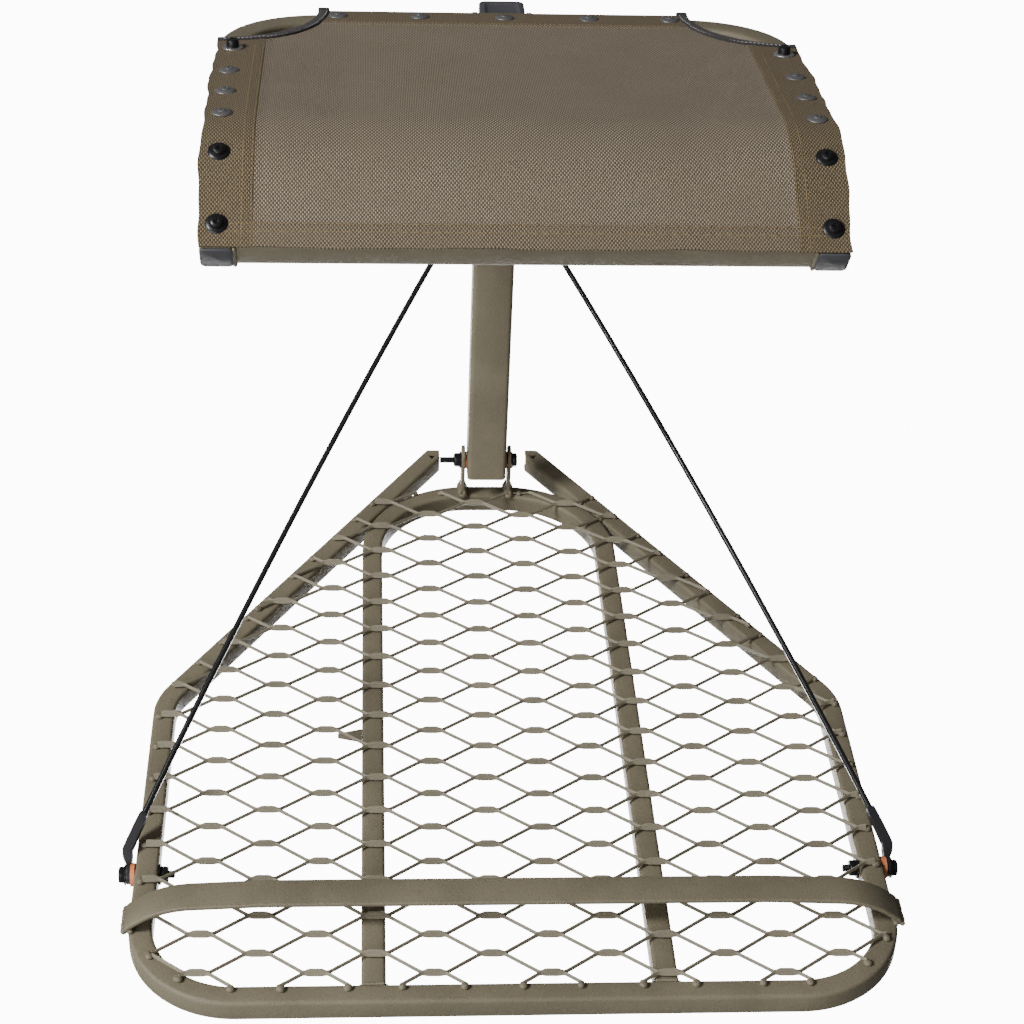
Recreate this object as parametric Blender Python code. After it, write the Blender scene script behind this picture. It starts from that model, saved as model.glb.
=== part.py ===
"""Hang-on tree stand: a steel platform that hinges on a short post, held by two cables,
with a fabric sling seat hinged at the top of the post.

X runs across the stand, +Y points at the tree and +Z is up, in metres.
The origin is the middle of the flat face of the tree bracket that faces the tree.
"""

import math

import bmesh
import bpy
from mathutils import Matrix, Vector

GAP = 0.0003

# Post and tree bracket
POST_SIZE = 0.0381
POST_WALL = 0.002
BRACKET_T = 0.004
BRACKET_HEIGHT = 0.070
POST_Y = -(BRACKET_T + GAP + POST_SIZE / 2)
POST_BOTTOM = -0.4292
POST_TOP = 0.054

# Platform
DECK_Z = -0.455
TUBE = 0.019
TUBE_WALL = 0.0016
FRONT_Y = -0.7084
HALF_WIDTH = 0.305
FRONT_RADIUS = 0.087
SHOULDER_Y = -0.3443
SHOULDER_RADIUS = 0.070
DIAGONAL_SLOPE = 0.625
CLAW_X = 0.044
CLAW_Y = 0.0502
HOOP_X = 0.113
HOOP_RADIUS = 0.0965

# Expanded metal
MESH_T = 0.003
MESH_LONG = 0.091
MESH_SHORT = 0.0409
MESH_BOND = 0.0215
MESH_STRAND = 0.0032
MESH_SKEW = math.radians(-0.8)
MESH_START = (-0.0665, -0.6823)
MESH_INSET = 0.008
MESH_RIM = 0.006
MESH_REAR = -0.0343

# Footrest strap
REST_T = 0.004
REST_WIDTH = 0.028
REST_Y = -0.6200
REST_HEIGHT = 0.030
REST_RADIUS = 0.0215

# Platform hinge
FOLD_Z = DECK_Z + 0.0372
EAR_T = 0.0035
EAR_WIDTH = 0.020
BUSH_T = 0.0014
BOLT_R = 0.004
HOLE_R = 0.0044

# Seat
SEAT_PIVOT_Z = 0.0435
SEAT_TUBE = 0.0254
SEAT_WALL = 0.0018
SEAT_HALF = 0.241
SEAT_REAR = Vector((0.0, -0.0615, 0.0501))
SEAT_TILT = math.radians(6.57)
SEAT_DROP = math.radians(32.5)
SEAT_BEND_RADIUS = 0.110
SEAT_PAN = 0.2482
SEAT_FRONT = 0.057
SEAT_CORNER = 0.0723
SLING_T = 0.0015
CUT_RADIUS = 0.087
HINGE_PLATE_X = 0.0216
HINGE_PLATE_T = 0.0044

# Cables
SIDE_BOLT_Y = -0.5585
SIDE_BOLT_Z = DECK_Z - TUBE / 2
ANCHOR_Z = -0.112
CABLE_R = 0.0025
LUG_T = 0.003
SPACER_T = 0.0035
LUG_FLAT = 0.028
LUG_END = 0.080
KNEE_SHARE = 0.679

LOWER_X = HALF_WIDTH + GAP + SPACER_T + GAP + LUG_T / 2
UPPER_X = POST_SIZE / 2 + GAP + LUG_T / 2

PAINT = ((0.205, 0.178, 0.125), 0.55, 0.0)
BLACK_STEEL = ((0.012, 0.012, 0.014), 0.4, 0.8)
GREY_STEEL = ((0.35, 0.35, 0.36), 0.35, 1.0)
FABRIC = ((0.15, 0.12, 0.075), 0.8, 0.0)
BINDING = ((0.015, 0.013, 0.014), 0.85, 0.0)
GREY_PLASTIC = ((0.12, 0.12, 0.125), 0.5, 0.0)
ORANGE_PLASTIC = ((0.75, 0.28, 0.12), 0.5, 0.0)
CABLE_BLACK = ((0.01, 0.01, 0.012), 0.3, 0.0)


def clear_scene():
    for obj in list(bpy.data.objects):
        bpy.data.objects.remove(obj)


def material(name, finish):
    """A Principled material of this colour, roughness and metallic value."""
    found = bpy.data.materials.get(name)
    if found:
        return found
    colour, roughness, metallic = finish
    made = bpy.data.materials.new(name)
    made.use_nodes = True
    shader = made.node_tree.nodes["Principled BSDF"]
    shader.inputs["Base Color"].default_value = (*colour, 1.0)
    shader.inputs["Roughness"].default_value = roughness
    shader.inputs["Metallic"].default_value = metallic
    return made


def new_object(name, bm, finish, parent, bevel=0.0):
    """Turns a bmesh in world coordinates into a smooth-shaded object whose origin is its parent's."""
    bmesh.ops.recalc_face_normals(bm, faces=bm.faces)
    mesh = bpy.data.meshes.new(name)
    bm.to_mesh(mesh)
    bm.free()
    obj = bpy.data.objects.new(name, mesh)
    bpy.context.scene.collection.objects.link(obj)
    mesh.transform(Matrix.Translation(-parent.location))
    obj.parent = parent
    mesh.shade_smooth()
    mesh.set_sharp_from_angle(angle=math.radians(35))
    mesh.materials.append(material(name + "_finish", finish))
    if bevel:
        modifier = obj.modifiers.new("Edges", "BEVEL")
        modifier.width = bevel
        modifier.segments = 1
        modifier.limit_method = "ANGLE"
    return obj


def joint_empty(name, location):
    empty = bpy.data.objects.new(name, None)
    empty.location = location
    bpy.context.scene.collection.objects.link(empty)
    return empty


def loft(bm, rings, closed_ends=True):
    """Skins rings of equal point count, with a cap on the first and the last."""
    made = [[bm.verts.new(p) for p in ring] for ring in rings]
    for a, b in zip(made, made[1:]):
        for i in range(len(a)):
            j = (i + 1) % len(a)
            bm.faces.new((a[i], a[j], b[j], b[i]))
    if closed_ends:
        bm.faces.new(made[0])
        bm.faces.new(made[-1])
    return made


def hollow(bm, outer_rings, inner_rings):
    """A tube with a wall: both skins, joined by a flat lip at each open end."""
    outer = loft(bm, outer_rings, closed_ends=False)
    inner = loft(bm, inner_rings, closed_ends=False)
    for a, b in ((outer[0], inner[0]), (outer[-1], inner[-1])):
        for i in range(len(a)):
            j = (i + 1) % len(a)
            bm.faces.new((a[i], a[j], b[j], b[i]))


def square_section(size, corner):
    """Eight points of a square with cut corners, in turn, about its centre."""
    h = size / 2
    c = h - corner
    return [(h, c), (c, h), (-c, h), (-h, c), (-h, -c), (-c, -h), (c, -h), (h, -c)]


def section_rings(stations, section):
    """The section placed at each (point, tangent, up) station."""
    rings = []
    for point, tangent, up in stations:
        side = tangent.cross(up).normalized()
        rings.append([point + side * u + up * v for u, v in section])
    return rings


def square_tube(name, stations, size, wall, finish, parent, corner=0.0028):
    bm = bmesh.new()
    outer = section_rings(stations, square_section(size, corner))
    inner = section_rings(stations, square_section(size - 2 * wall, corner / 2))
    hollow(bm, outer, inner)
    return new_object(name, bm, finish, parent)


def rounded_path(corners, radii, steps):
    """Points and tangents of a flat path through corners, each turned on its own radius."""
    out = []
    points = [Vector(c) for c in corners]
    out.append((points[0], (points[1] - points[0]).normalized()))
    for i in range(1, len(points) - 1):
        before = (points[i] - points[i - 1]).normalized()
        after = (points[i + 1] - points[i]).normalized()
        turn = before.angle(after)
        side = 1.0 if before.cross(after) > 0 else -1.0
        start = points[i] - before * radii[i - 1] * math.tan(turn / 2)
        normal = Vector((-before.y, before.x)) * side
        centre = start + normal * radii[i - 1]
        for k in range(steps[i - 1] + 1):
            a = turn * k / steps[i - 1]
            tangent = before * math.cos(a) + normal * math.sin(a)
            offset = before * math.sin(a) - normal * math.cos(a)
            out.append((centre + offset * radii[i - 1], tangent))
    out.append((points[-1], (points[-1] - points[-2]).normalized()))
    return out


def flat_stations(path, z):
    """Lays a flat path in the plane at height z."""
    up = Vector((0, 0, 1))
    return [(Vector((p.x, p.y, z)), Vector((t.x, t.y, 0)), up) for p, t in path]


def prism(bm, outline, axis, low, high):
    """Extrudes a flat outline along X, Y or Z from low to high. Its points are the other two coordinates."""
    def place(p, w):
        coords = list(p)
        coords.insert(axis, w)
        return Vector(coords)

    loft(bm, [[place(p, low) for p in outline], [place(p, high) for p in outline]])


def circle(cx, cy, radius, count, start=0.0):
    step = 2 * math.pi / count
    return [
        (cx + radius * math.cos(start + step * i), cy + radius * math.sin(start + step * i))
        for i in range(count)
    ]


def cutter(name, bm):
    bmesh.ops.recalc_face_normals(bm, faces=bm.faces)
    mesh = bpy.data.meshes.new(name)
    bm.to_mesh(mesh)
    bm.free()
    obj = bpy.data.objects.new(name, mesh)
    bpy.context.scene.collection.objects.link(obj)
    obj.hide_render = True
    obj.display_type = "WIRE"
    return obj


def cut(obj, tool):
    modifier = obj.modifiers.new("Cut", "BOOLEAN")
    modifier.operation = "DIFFERENCE"
    modifier.solver = "EXACT"
    modifier.object = tool


def drill(obj, name, holes, reach, count=12):
    """Cuts round holes along X at each (y, z)."""
    bm = bmesh.new()
    for y, z in holes:
        prism(bm, circle(y, z, HOLE_R, count, math.pi / count), 0, -reach, reach)
    cut(obj, cutter(name, bm))


def ring_disc(name, y, z, x0, x1, inner, outer, finish, parent, count=16):
    """A washer or bush round an axis along X."""
    bm = bmesh.new()
    rings_out = [[(x, a, b) for a, b in circle(y, z, outer, count)] for x in (x0, x1)]
    rings_in = [[(x, a, b) for a, b in circle(y, z, inner, count)] for x in (x0, x1)]
    hollow(bm, rings_out, rings_in)
    return new_object(name, bm, finish, parent)


def hexagon(y, z, across):
    """A hexagon as twelve points: its corners and the middles of its flats."""
    points = []
    for i in range(12):
        reach = across / 2 if i % 2 else across / 2 / math.cos(math.pi / 6)
        a = math.pi / 6 * i
        points.append((y + reach * math.cos(a), z + reach * math.sin(a)))
    return points


def hex_bolt(name, y, z, head_x, tip_x, finish, parent, across=0.013, head=0.0053):
    """A bolt along X: its head's bearing face is at head_x and its tip at tip_x."""
    out = 1.0 if head_x > tip_x else -1.0
    sections = [
        (head_x + out * head, circle(y, z, across * 0.42, 12)),
        (head_x + out * head * 0.82, hexagon(y, z, across)),
        (head_x, hexagon(y, z, across)),
        (head_x, circle(y, z, BOLT_R, 12)),
        (tip_x + out * 0.001, circle(y, z, BOLT_R, 12)),
        (tip_x, circle(y, z, BOLT_R * 0.75, 12)),
    ]
    bm = bmesh.new()
    loft(bm, [[(x, a, b) for a, b in ring] for x, ring in sections])
    return new_object(name, bm, finish, parent)


def hex_nut(name, y, z, x0, x1, finish, parent, across=0.013):
    bm = bmesh.new()
    outer = [[(x, a, b) for a, b in hexagon(y, z, across)] for x in (x0, x1)]
    inner = [[(x, a, b) for a, b in circle(y, z, HOLE_R, 12)] for x in (x0, x1)]
    hollow(bm, outer, inner)
    return new_object(name, bm, finish, parent)


def make_post(parent):
    up = Vector((0, 0, 1))
    side = Vector((1, 0, 0))
    stations = [(Vector((0, POST_Y, z)), up, side) for z in (POST_BOTTOM, POST_TOP)]
    post = square_tube("post_tube", stations, POST_SIZE, POST_WALL, PAINT, parent, 0.003)
    holes = [(POST_Y, z) for z in (FOLD_Z, ANCHOR_Z, SEAT_PIVOT_Z)]
    drill(post, "post_holes", holes, 0.03)


def make_post_cap(parent):
    """A plug whose flange sits on the post's end, with a shallow dish in its top."""
    flange = POST_SIZE - 0.0006
    neck = POST_SIZE - 2 * POST_WALL - 2 * GAP - 0.002
    top = POST_TOP + GAP + 0.0034
    levels = [
        (POST_TOP - 0.004, neck, 0.003),
        (POST_TOP + GAP, neck, 0.003),
        (POST_TOP + GAP, flange, 0.003),
        (top - 0.001, flange, 0.003),
        (top, flange - 0.002, 0.003),
        (top, flange - 0.008, 0.002),
        (top - 0.001, flange - 0.010, 0.002),
    ]
    bm = bmesh.new()
    loft(bm, [[(u, POST_Y + v, z) for u, v in square_section(s, c)] for z, s, c in levels])
    new_object("post_cap", bm, GREY_PLASTIC, parent)


def make_tree_bracket(parent):
    """A plate on the back of the post whose two tapered wings reach back and end in teeth."""
    flat, spread, reach, tooth, teeth = 0.021, 0.058, 0.044, 0.007, 4
    run = Vector((spread - flat, reach))
    along = run.normalized()
    off = Vector((along.y, -along.x)) * BRACKET_T
    pitch = BRACKET_HEIGHT / (2 * teeth)
    rings = []
    for level in range(2 * teeth + 1):
        length = run.length - (tooth if level % 2 else 0.0)
        tip = Vector((flat, 0)) + along * length
        z = -BRACKET_HEIGHT / 2 + pitch * level
        outer = tip + off
        half = [(flat, 0.0, z), (*tip, z / 2), (*outer, z / 2), (flat + off.x * 0.55, -BRACKET_T, z)]
        other = [(-x, y, h) for x, y, h in reversed(half)]
        rings.append(half + other)
    bm = bmesh.new()
    loft(bm, rings)
    new_object("tree_bracket", bm, PAINT, parent)


def shoulder_y(inset):
    """Where the side and the diagonal meet, on a line this far inside the frame's outer faces."""
    return SHOULDER_Y - inset * math.tan(math.atan(DIAGONAL_SLOPE) / 2)


def frame_outline():
    """The centreline of the horseshoe frame, from the right claw round the front to the left claw."""
    x = HALF_WIDTH - TUBE / 2
    front = FRONT_Y + TUBE / 2
    shoulder = shoulder_y(TUBE / 2)
    back = CLAW_Y + 0.04
    claw = x - (back - shoulder) * DIAGONAL_SLOPE
    right = [(claw, back), (x, shoulder), (x, front)]
    return right + [(-a, b) for a, b in reversed(right)]


def make_outer_frame(parent):
    radii = [SHOULDER_RADIUS - TUBE / 2, FRONT_RADIUS - TUBE / 2]
    path = rounded_path(frame_outline(), radii + radii[::-1], [5, 12, 12, 5])
    stations = flat_stations(path, DECK_Z - TUBE / 2)
    frame = square_tube("outer_frame", stations, TUBE, TUBE_WALL, PAINT, parent)
    low, high = DECK_Z - 0.04, DECK_Z + 0.02
    bm = bmesh.new()
    corners = [(-CLAW_X, -0.12), (CLAW_X, -0.12), (CLAW_X, 0.2), (-CLAW_X, 0.2)]
    prism(bm, corners, 2, low, high)
    cut(frame, cutter("claw_sides", bm))
    bm = bmesh.new()
    corners = [(-0.3, CLAW_Y), (0.3, CLAW_Y), (0.3, 0.3), (-0.3, 0.3)]
    prism(bm, corners, 2, low, high)
    cut(frame, cutter("claw_ends", bm))
    drill(frame, "side_bolt_holes", [(SIDE_BOLT_Y, SIDE_BOLT_Z)], 0.32)


def make_hoop(parent):
    start = FRONT_Y + TUBE + GAP
    corners = [(HOOP_X, start), (HOOP_X, POST_Y), (-HOOP_X, POST_Y), (-HOOP_X, start)]
    path = rounded_path(corners, [HOOP_RADIUS] * 2, [12, 12])
    stations = flat_stations(path, DECK_Z - TUBE / 2)
    square_tube("hoop_frame", stations, TUBE, TUBE_WALL, PAINT, parent)


def deck_outline(inset):
    """The expanded metal's edge, held in from the frame's outer faces."""
    x = HALF_WIDTH - inset
    front = FRONT_Y + inset
    radius = FRONT_RADIUS - inset
    shoulder = shoulder_y(inset)
    rear = MESH_REAR + MESH_INSET - inset
    back_x = x - (rear - shoulder) * DIAGONAL_SLOPE
    corners = [(0, rear), (back_x, rear), (x, shoulder), (x, front), (0, front)]
    path = rounded_path(corners, [0.012, SHOULDER_RADIUS - inset, radius], [3, 4, 8])
    half = [(p.x, p.y) for p, _ in path][1:-1]
    return half + [(-a, b) for a, b in reversed(half)]


def make_deck(parent):
    """A plate pierced by the long six-sided openings of expanded metal."""
    bottom = DECK_Z + GAP
    bm = bmesh.new()
    prism(bm, deck_outline(MESH_INSET), 2, bottom, bottom + MESH_T)
    deck = new_object("expanded_mesh_deck", bm, PAINT, parent)

    tip = (MESH_LONG - MESH_BOND) / 2
    shoulder = MESH_BOND / 2
    rise = MESH_SHORT / 2 - MESH_STRAND / 2
    hexes = bmesh.new()
    turn = Matrix.Rotation(MESH_SKEW, 2)
    for row in range(-2, 40):
        for column in range(-8, 9):
            offset = column + (0.5 if row % 2 == 0 else 0.0)
            centre = Vector((offset * MESH_LONG, row * MESH_SHORT / 2))
            centre = turn @ centre + Vector(MESH_START)
            if abs(centre.x) > HALF_WIDTH + 0.03 or centre.y > 0.0:
                continue
            corners = [(tip, 0), (shoulder, rise), (-shoulder, rise)]
            corners += [(-a, -b) for a, b in corners]
            outline = [tuple(centre + turn @ Vector(c)) for c in corners]
            prism(hexes, outline, 2, bottom - 0.01, bottom + 0.01)
    holes = cutter("deck_openings", hexes)
    bm = bmesh.new()
    prism(bm, deck_outline(MESH_INSET + MESH_RIM), 2, bottom - 0.005, bottom + 0.005)
    window = cutter("deck_window", bm)
    keep = holes.modifiers.new("Window", "BOOLEAN")
    keep.operation = "INTERSECT"
    keep.solver = "EXACT"
    keep.object = window
    cut(deck, holes)


def make_footrest(parent):
    """A flat strap arched across the front, welded on top of the side tubes."""
    x = HALF_WIDTH - REST_T / 2
    foot = DECK_Z + GAP
    top = DECK_Z + REST_HEIGHT - REST_T / 2
    shoulder = 0.200
    drop = 0.005
    right = [(shoulder, top), (x, top - drop), (x, foot)]
    corners = [(-a, b) for a, b in reversed(right)] + right
    path = rounded_path(corners, [REST_RADIUS, 0.3, 0.3, REST_RADIUS], [6, 2, 2, 6])
    forward = Vector((0, 1, 0))
    stations = [(Vector((p.x, REST_Y, p.y)), Vector((t.x, 0, t.y)), forward) for p, t in path]
    w, t, c = REST_WIDTH / 2, REST_T / 2, 0.0012
    section = [(t, w - c), (t - c, w), (c - t, w), (-t, w - c)]
    section += [(-a, -b) for a, b in section]
    bm = bmesh.new()
    loft(bm, section_rings(stations, section))
    new_object("footrest_bar", bm, PAINT, parent)


def make_ear(name, side, parent):
    """A rounded ear that stands on the back of the hoop and carries the fold bolt."""
    inner = POST_SIZE / 2 + GAP + BUSH_T + GAP
    w = EAR_WIDTH / 2
    top = FOLD_Z + 0.0055
    outline = [(POST_Y - w, DECK_Z + GAP), (POST_Y + w, DECK_Z + GAP)]
    outline += [(POST_Y + w * math.cos(a), top + w * math.sin(a)) for a in
                [math.pi * k / 6 for k in range(7)]]
    bm = bmesh.new()
    x0, x1 = sorted((side * inner, side * (inner + EAR_T)))
    prism(bm, outline, 0, x0, x1)
    ear = new_object(name, bm, PAINT, parent)
    drill(ear, name + "_hole", [(POST_Y, FOLD_Z)], 0.05)


def make_fold_hinge(parent, post_parent):
    outer = POST_SIZE / 2 + GAP * 3 + BUSH_T + EAR_T
    for label, side in (("left", -1), ("right", 1)):
        make_ear("hinge_ear_" + label, side, parent)
        x0, x1 = sorted((side * (POST_SIZE / 2 + GAP), side * (POST_SIZE / 2 + GAP + BUSH_T)))
        ring_disc("pivot_bushing_" + label, POST_Y, FOLD_Z, x0, x1, HOLE_R, 0.0085,
                  ORANGE_PLASTIC, post_parent)
    hex_bolt("fold_bolt", POST_Y, FOLD_Z, outer, -0.0455, BLACK_STEEL, parent)
    hex_nut("fold_nut", POST_Y, FOLD_Z, -outer - 0.0075, -outer, BLACK_STEEL, parent)


def cable_direction():
    """Unit direction of a cable in the YZ plane, from the side bolt to the anchor bolt, and its length."""
    run = Vector((POST_Y - SIDE_BOLT_Y, ANCHOR_Z - SIDE_BOLT_Z))
    return run.normalized(), run.length


def cable_point(side, distance):
    """The cable's centre at this distance along its YZ run: level over each lug's flat, slanted between."""
    direction, length = cable_direction()
    slant = min(max((distance - LUG_FLAT) / (length - 2 * LUG_FLAT), 0.0), 1.0)
    x = side * (LOWER_X + (UPPER_X - LOWER_X) * slant)
    return Vector((x, SIDE_BOLT_Y + direction.x * distance, SIDE_BOLT_Z + direction.y * distance))


def make_lug(name, side, at_anchor, parent):
    """A crimped cable end: a flat eye for the bolt that bends into a round sleeve."""
    _, length = cable_direction()
    sizes = [(-0.0080, 0.0020, LUG_T / 2), (-0.0058, 0.0055, LUG_T / 2), (0.0, 0.0080, LUG_T / 2)]
    sizes += [(0.0060, 0.0076, LUG_T / 2), (0.0170, 0.0058, LUG_T / 2)]
    sizes += [(0.0270, 0.0052, LUG_T / 2), (0.0360, 0.0045, 0.0045)]
    sizes += [(LUG_END - 0.0015, 0.0045, 0.0045), (LUG_END - GAP, 0.0034, 0.0034)]
    rings = []
    for reach, wide, thick in sizes:
        here = length - reach if at_anchor else reach
        ahead = cable_point(side, here + 0.001) - cable_point(side, here - 0.001)
        if reach <= 0.017:
            ahead.x = 0.0
        tangent = ahead.normalized()
        across = Vector((0, -tangent.z, tangent.y)).normalized()
        flat = tangent.cross(across).normalized()
        power = 1.0 if reach > 0.03 else 0.45
        ring = []
        for i in range(12):
            c, s = math.cos(math.pi / 6 * i), math.sin(math.pi / 6 * i)
            u = math.copysign(abs(c) ** power, c) * wide
            v = math.copysign(abs(s) ** power, s) * thick
            ring.append(cable_point(side, here) + across * u + flat * v)
        rings.append(ring)
    bm = bmesh.new()
    loft(bm, rings)
    lug = new_object(name, bm, BLACK_STEEL, parent)
    centre = (POST_Y, ANCHOR_Z) if at_anchor else (SIDE_BOLT_Y, SIDE_BOLT_Z)
    drill(lug, name + "_hole", [centre], 0.34)


def make_cable(name, side, start, end, parent):
    """A straight stretch of coated cable between two distances along its run."""
    curve = bpy.data.curves.new(name, "CURVE")
    curve.dimensions = "3D"
    curve.bevel_depth = CABLE_R
    curve.bevel_resolution = 2
    curve.use_fill_caps = True
    curve.render_resolution_u = 0
    spline = curve.splines.new("POLY")
    spline.points.add(1)
    for point, distance in zip(spline.points, (start, end)):
        point.co = (*(cable_point(side, distance) - parent.location), 1.0)
    obj = bpy.data.objects.new(name, curve)
    bpy.context.scene.collection.objects.link(obj)
    obj.parent = parent
    curve.materials.append(material(name + "_finish", CABLE_BLACK))


def make_side_bolt(label, side, parent):
    inner = HALF_WIDTH - TUBE
    outer = LOWER_X + LUG_T / 2 + GAP
    hex_bolt("cable_bolt_" + label, SIDE_BOLT_Y, SIDE_BOLT_Z, side * outer,
             side * (inner - 0.014), BLACK_STEEL, parent)
    x0, x1 = sorted((side * (inner - GAP), side * (inner - GAP - 0.0075)))
    hex_nut("cable_nut_" + label, SIDE_BOLT_Y, SIDE_BOLT_Z, x0, x1, BLACK_STEEL, parent)
    x0, x1 = sorted((side * (HALF_WIDTH + GAP), side * (HALF_WIDTH + GAP + SPACER_T)))
    ring_disc("cable_spacer_" + label, SIDE_BOLT_Y, SIDE_BOLT_Z, x0, x1, HOLE_R, 0.0095,
              ORANGE_PLASTIC, parent)


def make_cables(platform, post):
    _, length = cable_direction()
    knee = length * KNEE_SHARE
    for label, side in (("left", -1), ("right", 1)):
        make_side_bolt(label, side, platform)
        lower = joint_empty("lower_cable_axis_" + label, cable_point(side, 0.0))
        upper = joint_empty("cable_knee_axis_" + label, cable_point(side, knee))
        anchor = joint_empty("anchor_axis_" + label, cable_point(side, length))
        make_lug("cable_lug_lower_" + label, side, False, lower)
        make_cable("cable_lower_" + label, side, LUG_END, knee - GAP, lower)
        make_cable("cable_upper_" + label, side, knee + GAP, length - LUG_END, upper)
        make_lug("cable_lug_upper_" + label, side, True, anchor)
    outer = UPPER_X + LUG_T / 2 + GAP
    hex_bolt("anchor_bolt", POST_Y, ANCHOR_Z, outer, -outer - 0.013, BLACK_STEEL, post)
    hex_nut("anchor_nut", POST_Y, ANCHOR_Z, -outer - 0.0075, -outer, BLACK_STEEL, post)


def seat_length():
    """Length of the side rail's centreline from the rear rail to its front end."""
    return SEAT_PAN + SEAT_BEND_RADIUS * (SEAT_TILT + SEAT_DROP) + SEAT_FRONT


def seat_frame_at(u, v):
    """(point, forward direction, up direction) on the seat's centre surface, v metres ahead of the rear rail."""
    bend = SEAT_TILT + SEAT_DROP
    turned = min(max((v - SEAT_PAN) / SEAT_BEND_RADIUS, 0.0), bend)
    flat = min(v, SEAT_PAN)
    beyond = max(v - SEAT_PAN - SEAT_BEND_RADIUS * bend, 0.0)
    angle = SEAT_TILT - turned
    point = SEAT_REAR + Vector((u, -math.cos(SEAT_TILT) * flat, math.sin(SEAT_TILT) * flat))
    point.y -= SEAT_BEND_RADIUS * (math.sin(SEAT_TILT) - math.sin(angle))
    point.z += SEAT_BEND_RADIUS * (math.cos(angle) - math.cos(SEAT_TILT))
    ahead = Vector((0, -math.cos(angle), math.sin(angle)))
    up = Vector((0, math.sin(angle), math.cos(angle)))
    return point + ahead * beyond, ahead, up


def on_seat(u, v, height):
    point, _, up = seat_frame_at(u, v)
    return point + up * height


def make_seat_frame(parent):
    """One tube bent into a U behind, whose side rails turn down at the front."""
    half = SEAT_HALF - SEAT_TUBE / 2
    steps = 8
    front = [SEAT_PAN + SEAT_BEND_RADIUS * (SEAT_TILT + SEAT_DROP) * k / 6 for k in range(7)]
    front.append(seat_length())
    stations = []
    for v in reversed(front):
        point, ahead, up = seat_frame_at(half, v)
        stations.append((point, -ahead, up))
    corners = [(half, SEAT_PAN), (half, 0.0), (-half, 0.0), (-half, SEAT_PAN)]
    for p, t in rounded_path(corners, [SEAT_CORNER] * 2, [steps, steps])[1:-1]:
        point, ahead, up = seat_frame_at(p.x, p.y)
        stations.append((point, Vector((t.x, 0, 0)) + ahead * t.y, up))
    for v in front:
        point, ahead, up = seat_frame_at(-half, v)
        stations.append((point, ahead, up))
    square_tube("seat_frame", stations, SEAT_TUBE, SEAT_WALL, PAINT, parent, 0.0035)


def make_seat_crossbar(parent):
    v = seat_length() - SEAT_TUBE / 2
    reach = SEAT_HALF - SEAT_TUBE - GAP
    _, _, up = seat_frame_at(0, v)
    along = Vector((1, 0, 0))
    stations = [(on_seat(u, v, 0), along, up) for u in (-reach, reach)]
    square_tube("seat_crossbar", stations, SEAT_TUBE, SEAT_WALL, PAINT, parent)


def make_seat_plug(label, side, parent):
    """A square plug pressed into the open end of a side rail."""
    u = side * (SEAT_HALF - SEAT_TUBE / 2)
    end = seat_length()
    neck = SEAT_TUBE - 2 * SEAT_WALL - 2 * GAP - 0.0015
    levels = [(end - 0.012, neck, 0.002), (end + GAP, neck, 0.002)]
    levels += [(end + GAP, SEAT_TUBE, 0.003), (end + 0.0022, SEAT_TUBE, 0.003)]
    levels.append((end + 0.0032, SEAT_TUBE - 0.002, 0.003))
    rings = []
    for v, size, corner in levels:
        rings.append([on_seat(u + a, v, b) for a, b in square_section(size, corner)])
    bm = bmesh.new()
    loft(bm, rings)
    new_object("seat_plug_" + label, bm, GREY_PLASTIC, parent)


def sling_stations():
    """(v, half width) down the sling from its rear edge, with a hollow cut at each rear corner."""
    edge = SEAT_HALF + 0.001
    rear = -SEAT_TUBE / 2 - SLING_T
    out = []
    for k in range(8):
        a = math.pi / 2 * k / 7
        out.append((rear + CUT_RADIUS * math.sin(a), edge - CUT_RADIUS * math.cos(a)))
    bend = SEAT_BEND_RADIUS * (SEAT_TILT + SEAT_DROP)
    out += [(0.16, edge)]
    out += [(SEAT_PAN + bend * k / 6, edge) for k in range(7)]
    out.append((seat_length() - 0.0035, edge))
    return out


def make_sling(parent):
    low = SEAT_TUBE / 2 + GAP
    rings = []
    for v, half in sling_stations():
        top = [on_seat(half * k / 2, v, low + SLING_T) for k in range(-2, 3)]
        under = [on_seat(half * k / 2, v, low) for k in range(2, -3, -1)]
        rings.append(top + under)
    bm = bmesh.new()
    loft(bm, rings)
    new_object("seat_sling", bm, FABRIC, parent)


def make_binding(label, side, parent):
    """The tape that edges a rear corner cut-out, lying on the sling."""
    low = SEAT_TUBE / 2 + SLING_T + 2 * GAP
    edge = SEAT_HALF + 0.001
    rear = -SEAT_TUBE / 2 - SLING_T
    rings = []
    for k in range(9):
        a = math.pi / 2 * (0.03 + 0.94 * k / 8)
        ring = []
        for reach, height in ((0.0, 0.0), (0.004, 0.0), (0.004, 0.0008), (0.0, 0.0008)):
            r = CUT_RADIUS + reach
            u = side * (edge - r * math.cos(a))
            ring.append(on_seat(u, rear + r * math.sin(a), low + height))
        rings.append(ring)
    bm = bmesh.new()
    loft(bm, rings)
    new_object("seat_binding_" + label, bm, BINDING, parent)


def make_seat_screw(name, u, v, head_height, finish, parent):
    """A cup washer and the head of the screw in it, seated on the fabric."""
    low = SEAT_TUBE / 2 + SLING_T + 2 * GAP
    profile = [(0.0082, 0.0), (0.0078, 0.0012), (0.0050, 0.0022)]
    profile += [(0.0048, 0.0022 + head_height * 0.7), (0.0030, 0.0022 + head_height)]
    rings = []
    for radius, height in profile:
        ring = [on_seat(u + a, v, low + height) + on_seat(0, v + b, 0) - on_seat(0, v, 0)
                for a, b in circle(0, 0, radius, 12)]
        rings.append(ring)
    bm = bmesh.new()
    loft(bm, rings)
    new_object(name, bm, finish, parent)


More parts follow.
